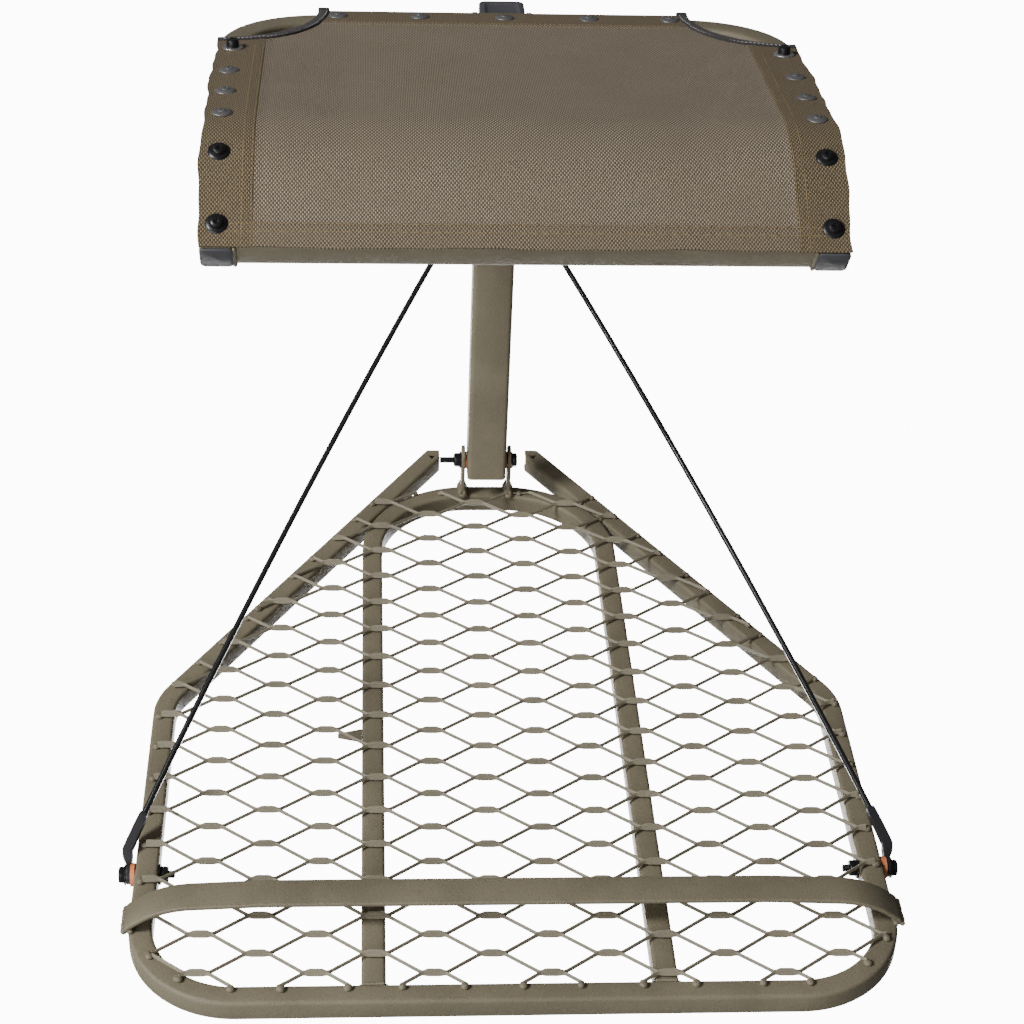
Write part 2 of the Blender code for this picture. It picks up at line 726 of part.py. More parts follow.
def make_seat_screws(parent):
    side_u = SEAT_HALF - SEAT_TUBE / 2
    rows = [(0.094, 0.0060, BLACK_STEEL), (0.154, 0.0015, GREY_STEEL), (0.206, 0.0015, GREY_STEEL)]
    rows += [(0.256, 0.0015, GREY_STEEL), (0.301, 0.0030, BLACK_STEEL), (0.361, 0.0040, BLACK_STEEL)]
    for label, side in (("left", -1), ("right", 1)):
        for number, (v, head, finish) in enumerate(rows, 1):
            make_seat_screw(f"seat_screw_{label}_{number}", side * side_u, v, head, finish, parent)
    for number, u in enumerate((-0.1432, -0.073, 0.0, 0.073, 0.1432), 1):
        make_seat_screw(f"seat_screw_rear_{number}", u, 0.0, 0.0015, GREY_STEEL, parent)


def make_hinge_plate(label, side, parent):
    """A plate under the rear rail that reaches back beside the post to the seat bolt."""
    pivot = Vector((POST_Y, SEAT_PIVOT_Z))
    radius = 0.0105
    arc = [math.radians(a) for a in (-60, -30, 0, 30, 60, 90, 120)]
    outline = [(pivot.x + radius * math.cos(a), pivot.y + radius * math.sin(a)) for a in arc]
    rail_back, _, up = seat_frame_at(0, -SEAT_TUBE / 2 - 0.0008)
    rail_under, ahead, _ = seat_frame_at(0, SEAT_TUBE / 2 - 0.002)
    over = rail_back + up * 0.006
    back_low = rail_back - up * (SEAT_TUBE / 2 + 0.0006)
    front_low = rail_under - up * (SEAT_TUBE / 2 + 0.0006)
    outline += [(p.y, p.z) for p in (over, back_low, front_low)]
    outline += [(front_low.y, 0.014), (-0.070, 0.0), (-0.040, -0.002), (-0.026, 0.010)]
    bm = bmesh.new()
    x0, x1 = sorted((side * HINGE_PLATE_X, side * (HINGE_PLATE_X + HINGE_PLATE_T)))
    prism(bm, outline, 0, x0, x1)
    plate = new_object("seat_hinge_plate_" + label, bm, PAINT, parent)
    drill(plate, f"hinge_plate_hole_{label}", [(POST_Y, SEAT_PIVOT_Z)], 0.05)


def make_seat_hinge(parent):
    for label, side in (("left", -1), ("right", 1)):
        make_hinge_plate(label, side, parent)
    reach = HINGE_PLATE_X - GAP
    back = POST_Y - POST_SIZE / 2 - 0.0005
    corners = [(back - 0.005, 0.001), (back, 0.001), (back, 0.0255), (back - 0.005, 0.0255)]
    bm = bmesh.new()
    prism(bm, corners, 0, -reach, reach)
    new_object("seat_stop_plate", bm, PAINT, parent)
    outer = HINGE_PLATE_X + HINGE_PLATE_T + GAP
    hex_bolt("seat_pivot_bolt", POST_Y, SEAT_PIVOT_Z, outer, -outer - 0.013, BLACK_STEEL, parent)
    hex_nut("seat_pivot_nut", POST_Y, SEAT_PIVOT_Z, -outer - 0.0075, -outer, BLACK_STEEL, parent)


def main():
    clear_scene()
    post = joint_empty("post_axis", (0, 0, 0))
    platform = joint_empty("platform_axis", (0, POST_Y, FOLD_Z))
    seat = joint_empty("seat_axis", (0, POST_Y, SEAT_PIVOT_Z))
    make_post(post)
    make_post_cap(post)
    make_tree_bracket(post)
    make_outer_frame(platform)
    make_hoop(platform)
    make_deck(platform)
    make_footrest(platform)
    make_fold_hinge(platform, post)
    make_cables(platform, post)
    make_seat_frame(seat)
    make_seat_crossbar(seat)
    make_sling(seat)
    make_seat_screws(seat)
    for label, side in (("left", -1), ("right", 1)):
        make_seat_plug(label, side, seat)
        make_binding(label, side, seat)
    make_seat_hinge(seat)


main()
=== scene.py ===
"""The hang-on tree stand's looks: powder-coated tube, expanded metal, coated cables and a woven sling seat.

X runs across the stand, +Y points at the tree and +Z is up, in metres.
"""

import math
import random

import bmesh
import bpy
from mathutils import Matrix, Vector


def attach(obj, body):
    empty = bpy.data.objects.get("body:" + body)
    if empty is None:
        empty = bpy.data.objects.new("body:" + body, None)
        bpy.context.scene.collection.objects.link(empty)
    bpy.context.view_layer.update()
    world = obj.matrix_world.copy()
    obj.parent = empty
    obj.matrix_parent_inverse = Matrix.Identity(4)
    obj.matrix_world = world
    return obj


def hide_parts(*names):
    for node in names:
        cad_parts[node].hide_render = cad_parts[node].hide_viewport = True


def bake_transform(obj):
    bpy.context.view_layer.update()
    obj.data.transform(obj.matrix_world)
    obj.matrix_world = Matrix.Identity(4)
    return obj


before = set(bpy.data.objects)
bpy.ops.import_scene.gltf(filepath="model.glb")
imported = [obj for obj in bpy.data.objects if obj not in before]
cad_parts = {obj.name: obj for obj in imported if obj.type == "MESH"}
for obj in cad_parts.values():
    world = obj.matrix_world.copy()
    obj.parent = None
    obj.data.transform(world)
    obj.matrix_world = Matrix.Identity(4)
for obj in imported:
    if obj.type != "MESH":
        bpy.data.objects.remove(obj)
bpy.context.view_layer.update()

X = Vector((1, 0, 0))
Y = Vector((0, 1, 0))
Z = Vector((0, 0, 1))
SIDES = (("left", -1), ("right", 1))
GAP = 0.0003

POST_SIZE = 0.0381
POST_Y = -0.02335
POST_BOTTOM = -0.4292
POST_TOP = 0.054
DECK_Z = -0.455
TUBE = 0.019
TUBE_CORNER = 0.0032
TUBE_WALL = 0.0016
FRONT_Y = -0.7084
HALF_WIDTH = 0.305
FRONT_RADIUS = 0.087
SHOULDER_Y = -0.3443
SHOULDER_RADIUS = 0.070
DIAGONAL_SLOPE = 0.625
CLAW_X = 0.044
CLAW_Y = 0.0502
HOOP_X = 0.113
HOOP_RADIUS = 0.0965
FOLD_Z = DECK_Z + 0.0372
SEAT_PIVOT_Z = 0.0435
ANCHOR_Z = -0.112
SIDE_BOLT_Y = -0.5585
SIDE_BOLT_Z = DECK_Z - TUBE / 2

SEAT_TUBE = 0.0254
SEAT_HALF = 0.241
SEAT_REAR = Vector((0.0, -0.0615, 0.0501))
SEAT_TILT = math.radians(6.57)
SEAT_DROP = math.radians(32.5)
SEAT_BEND_RADIUS = 0.110
SEAT_PAN = 0.2482
SEAT_FRONT = 0.057
SEAT_CORNER = 0.0723
SEAT_BEND = SEAT_BEND_RADIUS * (SEAT_TILT + SEAT_DROP)
SEAT_LENGTH = SEAT_PAN + SEAT_BEND + SEAT_FRONT
CUT_RADIUS = 0.087
SLING_EDGE = SEAT_HALF + 0.001
SLING_REAR = -SEAT_TUBE / 2 - 0.0015
CLOTH_LENGTH = SEAT_LENGTH - SLING_REAR
CLOTH_FACE = SEAT_TUBE / 2 + 0.0016
SEAT_WALL = 0.0018
HEM_U = 0.2015
HEM_FRONT = 0.3590
HEM_REAR = 0.0190

CABLE_R = 0.0025
LUG_T = 0.003
LOWER_X = HALF_WIDTH + 0.0056
UPPER_X = POST_SIZE / 2 + 0.0018


# Materials


class Wire:
    """A node's output that joins in sums, each of which adds its Math node."""

    def __init__(self, finish, socket):
        self.finish = finish
        self.socket = socket

    def maths(self, operation, *others, **settings):
        sockets = dict(enumerate((self, *others)))
        return self.finish.node("ShaderNodeMath", sockets, operation=operation, **settings)

    def __add__(self, other):
        return self.maths("ADD", other)

    def __sub__(self, other):
        return self.maths("SUBTRACT", other)

    def __rsub__(self, other):
        return self.finish.node("ShaderNodeMath", {0: other, 1: self}, operation="SUBTRACT")

    def __mul__(self, other):
        return self.maths("MULTIPLY", other)

    __radd__ = __add__
    __rmul__ = __mul__


class Finish:
    """One procedural material. Numbers that hold all over the surface are set on the shader's own sockets."""

    def __init__(self, name, **constants):
        self.material = bpy.data.materials.new(name)
        self.material.use_nodes = True
        self.tree = self.material.node_tree
        self.shader = self.tree.nodes["Principled BSDF"]
        self.coat(**constants)

    def feed(self, socket, value):
        if isinstance(value, Wire):
            self.tree.links.new(value.socket, socket)
        elif isinstance(value, tuple) and socket.type == "RGBA":
            socket.default_value = (*value, 1.0)
        else:
            socket.default_value = value

    def node(self, kind, sockets=None, out=0, **settings):
        made = self.tree.nodes.new(kind)
        for name, value in settings.items():
            setattr(made, name, value)
        for key, value in (sockets or {}).items():
            self.feed(made.inputs[key], value)
        return Wire(self, made.outputs[out])

    def coat(self, **inputs):
        """Sets the shader's sockets or wires values into them."""
        for name, value in inputs.items():
            socket = name.replace("_", " ").title().replace("Ior", "IOR")
            self.feed(self.shader.inputs[socket], value)
        return self.material

    def object_place(self):
        return self.node("ShaderNodeTexCoord", out="Object")

    def noise(self, place, scale, detail=2.0, rough=0.5):
        sockets = {"Vector": place, "Scale": scale, "Detail": detail, "Roughness": rough}
        return self.node("ShaderNodeTexNoise", sockets)

    def mix(self, share, a, b):
        return self.node("ShaderNodeMix", {0: share, 6: a, 7: b}, out=2, data_type="RGBA")

    def band(self, value, low, high, start=0.0, end=1.0):
        """Goes smoothly from start to end as value goes from low to high."""
        sockets = {0: value, 1: low, 2: high, 3: start, 4: end}
        return self.node("ShaderNodeMapRange", sockets, interpolation_type="SMOOTHSTEP")

    def bump(self, height, distance, strength=1.0):
        sockets = {"Height": height, "Distance": distance, "Strength": strength}
        return self.node("ShaderNodeBump", sockets)


def powder_coat(name, colour, spread=0.10, grain=1.0):
    """Baked powder paint: a fine sandy skin with slow changes of tone."""
    f = Finish(name, specular_ior_level=0.35)
    place = f.object_place()
    slow = f.noise(place, 14.0, 3.0)
    sand = f.noise(place, 900.0, 2.0)
    specks = f.noise(place, 520.0, 2.0, 0.6)
    dark = tuple(c * (1 - spread) for c in colour)
    light = tuple(c * (1 + spread) for c in colour)
    tone = f.mix(f.band(slow, 0.35, 0.65), dark, light)
    pale = tuple(min(c * 1.35, 1.0) for c in colour)
    tone = f.mix(f.band(specks, 0.56, 0.72, 0.0, 0.45), tone, pale)
    deep = tuple(c * 0.6 for c in colour)
    tone = f.mix(f.band(sand, 0.46, 0.32, 0.0, 0.40), tone, deep)
    skin = f.bump(sand * 0.7 + specks * 0.5, 0.0006 * grain, 0.8)
    return f.coat(base_color=tone, roughness=f.band(slow, 0.2, 0.8, 0.46, 0.60), normal=skin)


def woven_sling():
    """Coarse plain weave in two yarns, denser and browner where the hems double it, with painted shade in the
    low places between the yarns.
    """
    f = Finish("woven_sling", sheen_weight=0.04, sheen_roughness=0.6, specular_ior_level=0.25)
    uv = f.node("ShaderNodeTexCoord", out="UV")
    u = f.node("ShaderNodeSeparateXYZ", {0: uv}, out=0)
    v = f.node("ShaderNodeSeparateXYZ", {0: uv}, out=1)
    waver = f.noise(uv, 60.0, 2.0) * 0.0005
    across = ((u + waver) * (math.pi / 0.00137)).maths("SINE")
    along = ((v + waver) * (math.pi / 0.00188)).maths("SINE")
    parity = across * along
    warp_up = f.band(parity, -0.12, 0.12)
    ridge_warp = across.maths("ABSOLUTE")
    ridge_weft = along.maths("ABSOLUTE")
    height = f.node("ShaderNodeMix", {0: warp_up, 2: ridge_weft, 3: ridge_warp}, out=0)
    height = height * (0.45 + 0.55 * parity.maths("ABSOLUTE"))
    slow = f.noise(uv, 22.0, 3.0)
    yarn = f.noise(uv, 700.0, 2.0)
    doubled = f.band(u.maths("ABSOLUTE"), HEM_U - 0.0003, HEM_U + 0.0005)
    doubled = doubled.maths("MAXIMUM", f.band(v, HEM_FRONT, HEM_FRONT + 0.0008, 0.0, 0.5))
    doubled = doubled.maths("MAXIMUM", f.band(v, HEM_REAR, HEM_REAR - 0.0008))
    warp = f.mix(doubled, (0.400, 0.330, 0.240), (0.260, 0.198, 0.110))
    weft = f.mix(doubled, (0.080, 0.061, 0.040), (0.048, 0.034, 0.016))
    cloth = f.mix(warp_up, weft, warp)
    # Painted shade: where the weave dips between yarns, the cloth is darkened towards near black.
    cloth = f.mix(f.band(height, 0.55, 0.05, 0.0, 0.65), cloth, (0.016, 0.011, 0.007))
    cloth = f.mix(f.band(slow, 0.3, 0.7, 0.0, 0.22), cloth, (0.13, 0.10, 0.065))
    cloth = f.mix(f.band(yarn, 0.45, 0.7, 0.0, 0.25), cloth, (0.28, 0.23, 0.155))
    return f.coat(base_color=cloth, roughness=0.78, normal=f.bump(height, 0.0004, 0.8))


def plain_finish(name, colour, roughness, metallic=0.0, spread=0.15, scale=60.0, grain=0.0001, **more):
    """Metal, plastic or rubber with a little unevenness in its colour and gloss."""
    f = Finish(name, metallic=metallic, **more)
    place = f.object_place()
    slow = f.noise(place, scale, 3.0)
    fine = f.noise(place, scale * 14, 2.0)
    tone = f.mix(slow, tuple(c * (1 - spread) for c in colour), tuple(c * (1 + spread) for c in colour))
    rough = f.band(fine, 0.25, 0.75, roughness * 0.8, roughness * 1.2)
    return f.coat(base_color=tone, roughness=rough, normal=f.bump(fine, grain, 0.5))


def tape_weave():
    """Black edge tape with a fine ribbed weave."""
    f = Finish("edge_tape", sheen_weight=0.1)
    place = f.object_place()
    ribs = f.node("ShaderNodeTexWave", {"Vector": place, "Scale": 420.0, "Distortion": 2.5}, out=1)
    fuzz = f.noise(place, 900.0, 2.0)
    tone = f.mix(fuzz, (0.010, 0.008, 0.009), (0.045, 0.038, 0.038))
    return f.coat(base_color=tone, roughness=0.85, normal=f.bump(ribs + fuzz, 0.0003, 0.6))


PAINT = powder_coat("olive_powder_coat", (0.180, 0.157, 0.107))
DECK_PAINT = powder_coat("deck_powder_coat", (0.200, 0.178, 0.126), 0.12, 0.6)
SLING = woven_sling()
TAPE = tape_weave()
BLACK = plain_finish("black_lacquered_steel", (0.012, 0.012, 0.014), 0.34, 0.3)
LUG_BLACK = plain_finish("black_lug_steel", (0.030, 0.028, 0.032), 0.42, 0.4)
ZINC = plain_finish("dark_zinc", (0.200, 0.195, 0.200), 0.40, 0.6)
BRIGHT = plain_finish("bright_zinc", (0.55, 0.55, 0.56), 0.30, 0.9)
CABLE_SKIN = plain_finish("cable_vinyl", (0.010, 0.010, 0.011), 0.26, coat_weight=0.3)
GREY_PLASTIC = plain_finish("grey_plastic", (0.070, 0.071, 0.078), 0.55, specular_ior_level=0.25)
ORANGE = plain_finish("orange_plastic", (0.72, 0.24, 0.10), 0.45)
THREAD = plain_finish("brown_thread", (0.22, 0.155, 0.075), 0.75)
PALE_THREAD = plain_finish("grey_thread", (0.42, 0.41, 0.40), 0.75)


# Ways of working


def select_none():
    if bpy.context.object and bpy.context.object.mode != "OBJECT":
        bpy.ops.object.mode_set(mode="OBJECT")
    bpy.ops.object.select_all(action="DESELECT")


def select_only(obj):
    select_none()
    obj.select_set(True)
    bpy.context.view_layer.objects.active = obj


def open_mesh(obj):
    """Opens obj in edit mode with all of it selected."""
    select_only(obj)
    bpy.ops.object.mode_set(mode="EDIT")
    bpy.ops.mesh.select_mode(type="VERT")
    bpy.ops.mesh.select_all(action="SELECT")


def close_mesh():
    bpy.ops.object.mode_set(mode="OBJECT")


def select_where(obj, kind, test):
    """In edit mode, selects the vertices, edges or faces that pass the test."""
    bpy.ops.mesh.select_mode(type=kind)
    bpy.ops.mesh.select_all(action="DESELECT")
    mesh = bmesh.from_edit_mesh(obj.data)
    for item in {"VERT": mesh.verts, "EDGE": mesh.edges, "FACE": mesh.faces}[kind]:
        if test(item):
            item.select_set(True)
    mesh.select_flush_mode()
    bmesh.update_edit_mesh(obj.data)


def modify(obj, kind, **settings):
    """Adds a modifier and applies it."""
    select_only(obj)
    modifier = obj.modifiers.new(kind.title(), kind)
    for name, value in settings.items():
        setattr(modifier, name, value)
    bpy.ops.object.modifier_apply(modifier=modifier.name)
    return obj


def settle(obj):
    """Puts the object's place into its mesh."""
    select_only(obj)
    bpy.ops.object.transform_apply(location=True, rotation=True, scale=True)
    return obj


def place(obj, matrix):
    obj.matrix_world = matrix @ obj.matrix_world
    return settle(obj)


def copy_of(obj):
    made = obj.copy()
    made.data = obj.data.copy()
    bpy.context.scene.collection.objects.link(made)
    return made


def join(pieces):
    select_none()
    for piece in pieces:
        piece.select_set(True)
    bpy.context.view_layer.objects.active = pieces[0]
    if len(pieces) > 1:
        bpy.ops.object.join()
    return pieces[0]


def remove(obj):
    bpy.data.objects.remove(obj)


def carve(obj, tool):
    """Cuts tool's shape out of obj."""
    modify(obj, "BOOLEAN", operation="DIFFERENCE", solver="EXACT", object=tool)
    remove(tool)
    return obj


def recalculate(obj):
    open_mesh(obj)
    bpy.ops.mesh.normals_make_consistent(inside=False)
    close_mesh()
    return obj


def complete(obj, name, finish, body, nodes=(), smooth=32):
    """Names and paints a finished piece, gives it its body and hides the CAD nodes it stands for."""
    select_only(obj)
    bpy.ops.object.shade_smooth_by_angle(angle=math.radians(smooth))
    obj.name = name
    obj.data.name = name
    if finish:
        obj.data.materials.clear()
        obj.data.materials.append(finish)
    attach(obj, body)
    if nodes:
        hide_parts(*nodes)
    return obj


def complete_welds(beads, name, body):
    complete(join(beads), name, PAINT, body, smooth=60)


def ease(value, low, high):
    """Goes smoothly from 0 to 1 as value goes from low to high."""
    t = min(max((value - low) / (high - low), 0.0), 1.0)
    return t * t * (3 - 2 * t)


def facing(origin, across, up):
    """The matrix that takes local X to across, local Y to up and local Z to their cross product."""
    turned = Matrix((across, up, across.cross(up))).transposed().to_4x4()
    return Matrix.Translation(origin) @ turned


class Drawn:
    """A section drawn along straights and bends by extrude and spin."""

    def __init__(self, wide, high, corner, start, ahead, up, segments=4):
        select_none()
        bpy.ops.mesh.primitive_plane_add(size=1)
        self.obj = bpy.context.object
        self.obj.scale = (wide, high, 1)
        settle(self.obj)
        open_mesh(self.obj)
        bpy.ops.mesh.bevel(offset=corner, segments=segments, affect="VERTICES")
        bpy.ops.mesh.delete(type="ONLY_FACE")
        close_mesh()
        place(self.obj, facing(start, ahead.cross(up), up))
        self.here = Vector(start)
        self.ahead = Vector(ahead)
        open_mesh(self.obj)
        bpy.ops.mesh.select_mode(type="EDGE")

    def forward(self, length):
        move = self.ahead * length
        bpy.ops.mesh.extrude_region_move(TRANSFORM_OT_translate={"value": move})
        self.here += move
        return self

    def to(self, point):
        move = Vector(point) - self.here
        bpy.ops.mesh.extrude_region_move(TRANSFORM_OT_translate={"value": move})
        self.here += move
        return self

    def turn(self, radius, degrees, axis, steps):
        """Bends round axis by the right-hand rule. With no window, spin turns the other way."""
        angle = math.radians(degrees)
        centre = self.here + axis.cross(self.ahead) * math.copysign(radius, angle)
        bpy.ops.mesh.spin(steps=steps, angle=-angle, center=centre, axis=axis)
        turned = Matrix.Rotation(angle, 3, axis)
        self.here = centre + turned @ (self.here - centre)
        self.ahead = turned @ self.ahead
        return self

    def shell(self):
        close_mesh()
        open_mesh(self.obj)
        bpy.ops.mesh.remove_doubles(threshold=0.00001)
        bpy.ops.mesh.normals_make_consistent(inside=False)
        close_mesh()
        return self.obj

    def pipe(self, wall):
        """Gives the drawn skin its wall, inwards."""
        return modify(self.shell(), "SOLIDIFY", thickness=wall, offset=-1, use_even_offset=True)

    def bar(self):
        """Closes both ends."""
        obj = self.shell()
        open_mesh(obj)
        bpy.ops.mesh.fill_holes(sides=0)
        bpy.ops.mesh.normals_make_consistent(inside=False)
        close_mesh()
        return obj


def lump(centre, size, turn=0.0):
    """A small weld dab."""
    select_none()
    bpy.ops.mesh.primitive_uv_sphere_add(segments=10, ring_count=6, radius=1)
    obj = bpy.context.object
    obj.scale = size
    obj.rotation_euler = (0, 0, turn)
    obj.location = centre
    return settle(obj)


def weld_bead(path, radius, seed):
    """Overlapping dabs along a line of points, as a weld's ripples."""
    dice = random.Random(seed)
    dabs = []
    for a, b in zip(path, path[1:]):
        a, b = Vector(a), Vector(b)
        count = max(2, round((b - a).length / (radius * 0.62)))
        for k in range(count):
            at = a.lerp(b, (k + 0.5) / count)
            size = [radius * dice.uniform(0.85, 1.15) for _ in range(3)]
            dabs.append(lump(at, size, dice.uniform(0, 3)))
    return join(dabs)


# Platform


def shoulder_y(inset):
    return SHOULDER_Y - inset * math.tan(math.atan(DIAGONAL_SLOPE) / 2)


def make_outer_frame():
    """The horseshoe tube, from the right claw round the front to the left claw, cut open at the claws."""
    lean = math.degrees(math.atan(DIAGONAL_SLOPE))
    x = HALF_WIDTH - TUBE / 2
    z = DECK_Z - TUBE / 2
    shoulder = shoulder_y(TUBE / 2)
    back = CLAW_Y + 0.04
    start = Vector((x - (back - shoulder) * DIAGONAL_SLOPE, back, z))
    ahead = Vector((math.sin(math.radians(lean)), -math.cos(math.radians(lean)), 0))
    r1, r2 = SHOULDER_RADIUS - TUBE / 2, FRONT_RADIUS - TUBE / 2
    t1 = r1 * math.tan(math.radians(lean / 2))
    diagonal = (Vector((x, shoulder, z)) - start).length - t1
    side = shoulder - t1 - (FRONT_Y + TUBE / 2) - r2
    run = Drawn(TUBE, TUBE, TUBE_CORNER, start, ahead, Z)
    run.forward(diagonal).turn(r1, -lean, Z, 10).forward(side)
    run.turn(r2, -90, Z, 26).forward(2 * (x - r2)).turn(r2, -90, Z, 26)
    run.forward(side).turn(r1, -lean, Z, 10).forward(diagonal)
    obj = run.shell()
    for sign in (-1, 1):
        for co, no in (((0, CLAW_Y, 0), (0, 1, 0)), ((sign * CLAW_X, 0, 0), (-sign, 0, 0))):
            open_mesh(obj)
            select_where(obj, "FACE", lambda f, s=sign: f.calc_center_median().y > -0.2
                         and f.calc_center_median().x * s > -0.05)
            bpy.ops.mesh.bisect(plane_co=co, plane_no=no, clear_outer=True)
            close_mesh()
    modify(obj, "SOLIDIFY", thickness=TUBE_WALL, offset=-1, use_even_offset=True)
    for sign in (-1, 1):
        select_none()
        at = (sign * (CLAW_X + 0.0078), CLAW_Y - 0.0112, DECK_Z)
        bpy.ops.mesh.primitive_cylinder_add(vertices=3, radius=0.0052, depth=0.005, location=at)
        notch = bpy.context.object
        notch.rotation_euler = (0, 0, math.radians(sign * 60))
        carve(obj, settle(notch))
    complete(obj, "outer_frame_tube", PAINT, "platform", ["outer_frame"])
    # Inside each claw's open end sits a black block that stands in for the shade within the tube: painted
    # shade, not a part of the stand.
    for label, sign in SIDES:
        at = Vector((sign * (CLAW_X + 0.0095), CLAW_Y - 0.0098, DECK_Z - 0.0160))
        plug_and_shade_block = turned([(0, 0.0076), (0.0130, 0.0076), (0.0138, 0.0068)], at, Z)
        complete(plug_and_shade_block, f"claw_shade_block_{label}", BLACK, "platform")


def make_hoop():
    z = DECK_Z - TUBE / 2
    start = Vector((HOOP_X, FRONT_Y + TUBE + GAP, z))
    leg = POST_Y - HOOP_RADIUS - start.y
    run = Drawn(TUBE, TUBE, TUBE_CORNER, start, Y, Z)
    run.forward(leg).turn(HOOP_RADIUS, 90, Z, 26).forward(2 * (HOOP_X - HOOP_RADIUS))
    run.turn(HOOP_RADIUS, 90, Z, 26).forward(leg)
    complete(run.pipe(TUBE_WALL), "hoop_tube", PAINT, "platform", ["hoop_frame"])


MESH_LONG = 0.0910
MESH_SHORT = 0.0409
MESH_BOND = 0.0180
STRAND_W = 0.0032
STRAND_T = 0.0028
STRAND_LEAN = math.radians(48)
MESH_Z = DECK_Z + 0.0031
MESH_START = Vector((-0.0665, -0.6823, 0))


def strand_point(x):
    """The middle of a strand, which leans up behind its own bonds and down in front of the next row's."""
    a, half = MESH_BOND / 2, MESH_LONG / 2
    b = half - a
    x = abs((x + half) % MESH_LONG - half)
    soft = [(math.sqrt((x - k) ** 2 + 0.0010**2) + x - k) / 2 for k in (a, b)]
    rise = MESH_SHORT / 2 * min(max((soft[0] - soft[1]) / (b - a), 0.0), 1.0)
    behind = 1 - ease(x, 0.0040, 0.0105)
    ahead = ease(x, half - 0.0105, half - 0.0040)
    bulge = STRAND_W * (0.60 * behind - 0.28 * ahead)
    return rise + bulge * math.cos(STRAND_LEAN), bulge * math.sin(STRAND_LEAN)


def make_strand():
    """One repeat of a zigzag strand, with open ends."""
    bends = [0, 2, 4, 5, 6, 7, 8, 9, 10, 12, 22.75]
    quarter = [k / 1000 for k in bends]
    quarter += [MESH_LONG / 2 - x for x in reversed(quarter[:-1])]
    stops = quarter + [MESH_LONG - x for x in reversed(quarter[:-1])]
    y, z = strand_point(0)
    up = Vector((0, -math.sin(STRAND_LEAN), math.cos(STRAND_LEAN)))
    run = Drawn(STRAND_W, STRAND_T, 0.0006, (0, y, z), X, up, segments=2)
    for x in stops[1:]:
        run.to((x, *strand_point(x)))
    return run.shell()


def deck_cuts():
    """(point, outward normal) of each plane that trims the expanded metal."""
    side = HALF_WIDTH - 0.0075
    cuts = [(Vector((0, FRONT_Y + 0.0150, 0)), -Y), (Vector((0, -0.0310, 0)), Y)]
    lean = math.atan(DIAGONAL_SLOPE)
    for s in (-1, 1):
        cuts.append((Vector((s * side, 0, 0)), s * X))
        corner = Vector((s * side, shoulder_y(0.0075), 0))
        cuts.append((corner, Vector((s * math.cos(lean), math.sin(lean), 0))))
        centre = Vector((s * (HALF_WIDTH - FRONT_RADIUS), FRONT_Y + FRONT_RADIUS, 0))
        for degrees in (14, 32, 50, 68, 84):
            out = Vector((s * math.cos(math.radians(degrees)), -math.sin(math.radians(degrees)), 0))
            inset = 0.0085 + 0.0065 * degrees / 90
            cuts.append((centre + out * (FRONT_RADIUS - inset), out))
    return cuts


def cut_ends(deck, cuts):
    """(middle, outward normal) of each strand end, one for each weld dab."""
    ends = []
    for face in deck.data.polygons:
        for point, normal in cuts:
            off = abs((face.center - point).dot(normal))
            if off < 0.00012 and abs(face.normal.dot(normal)) > 0.95:
                if all((face.center - other).length > 0.006 for other, _ in ends):
                    ends.append((face.center.copy(), normal))
    return ends


def make_deck():
    """Expanded metal: rows of zigzag strands that meet at their bonds, trimmed to lie on the frame."""
    strand = make_strand()
    gather = []
    for half in (0, 1):
        row = copy_of(strand)
        repeat = {"use_relative_offset": False, "use_constant_offset": True}
        modify(row, "ARRAY", count=9, constant_offset_displace=(MESH_LONG, 0, 0),
               use_merge_vertices=True, merge_threshold=0.00005, **repeat)
        modify(row, "ARRAY", count=18, constant_offset_displace=(0, MESH_SHORT, 0), **repeat)
        shift = Vector((-4 * MESH_LONG + half * MESH_LONG / 2, -MESH_SHORT * (1 - half / 2), 0))
        place(row, Matrix.Translation(shift + Vector((0, 0, MESH_Z))))
        gather.append(row)
    remove(strand)
    deck = join(gather)
    place(deck, Matrix.Translation(MESH_START) @ Matrix.Rotation(math.radians(-0.816), 4, "Z"))
    cuts = deck_cuts()
    open_mesh(deck)
    for point, normal in cuts:
        bpy.ops.mesh.select_all(action="SELECT")
        bpy.ops.mesh.bisect(plane_co=point, plane_no=normal, use_fill=True, clear_outer=True)
    close_mesh()
    dice = random.Random(11)
    lumps = []
    for end, outwards in cut_ends(deck, cuts):
        size = [dice.uniform(0.0033, 0.0042), dice.uniform(0.0029, 0.0037), dice.uniform(0.0022, 0.0028)]
        at = end + outwards * 0.0012
        at.z = DECK_Z + 0.0014
        lumps.append(lump(at, size, dice.uniform(0, 3)))
    complete(deck, "expanded_metal", DECK_PAINT, "platform", ["expanded_mesh_deck"], 40)
    complete(join(lumps), "deck_weld_dabs", PAINT, "platform", smooth=60)


REST_Y = -0.6200
REST_HEIGHT = 0.030
REST_T = 0.004


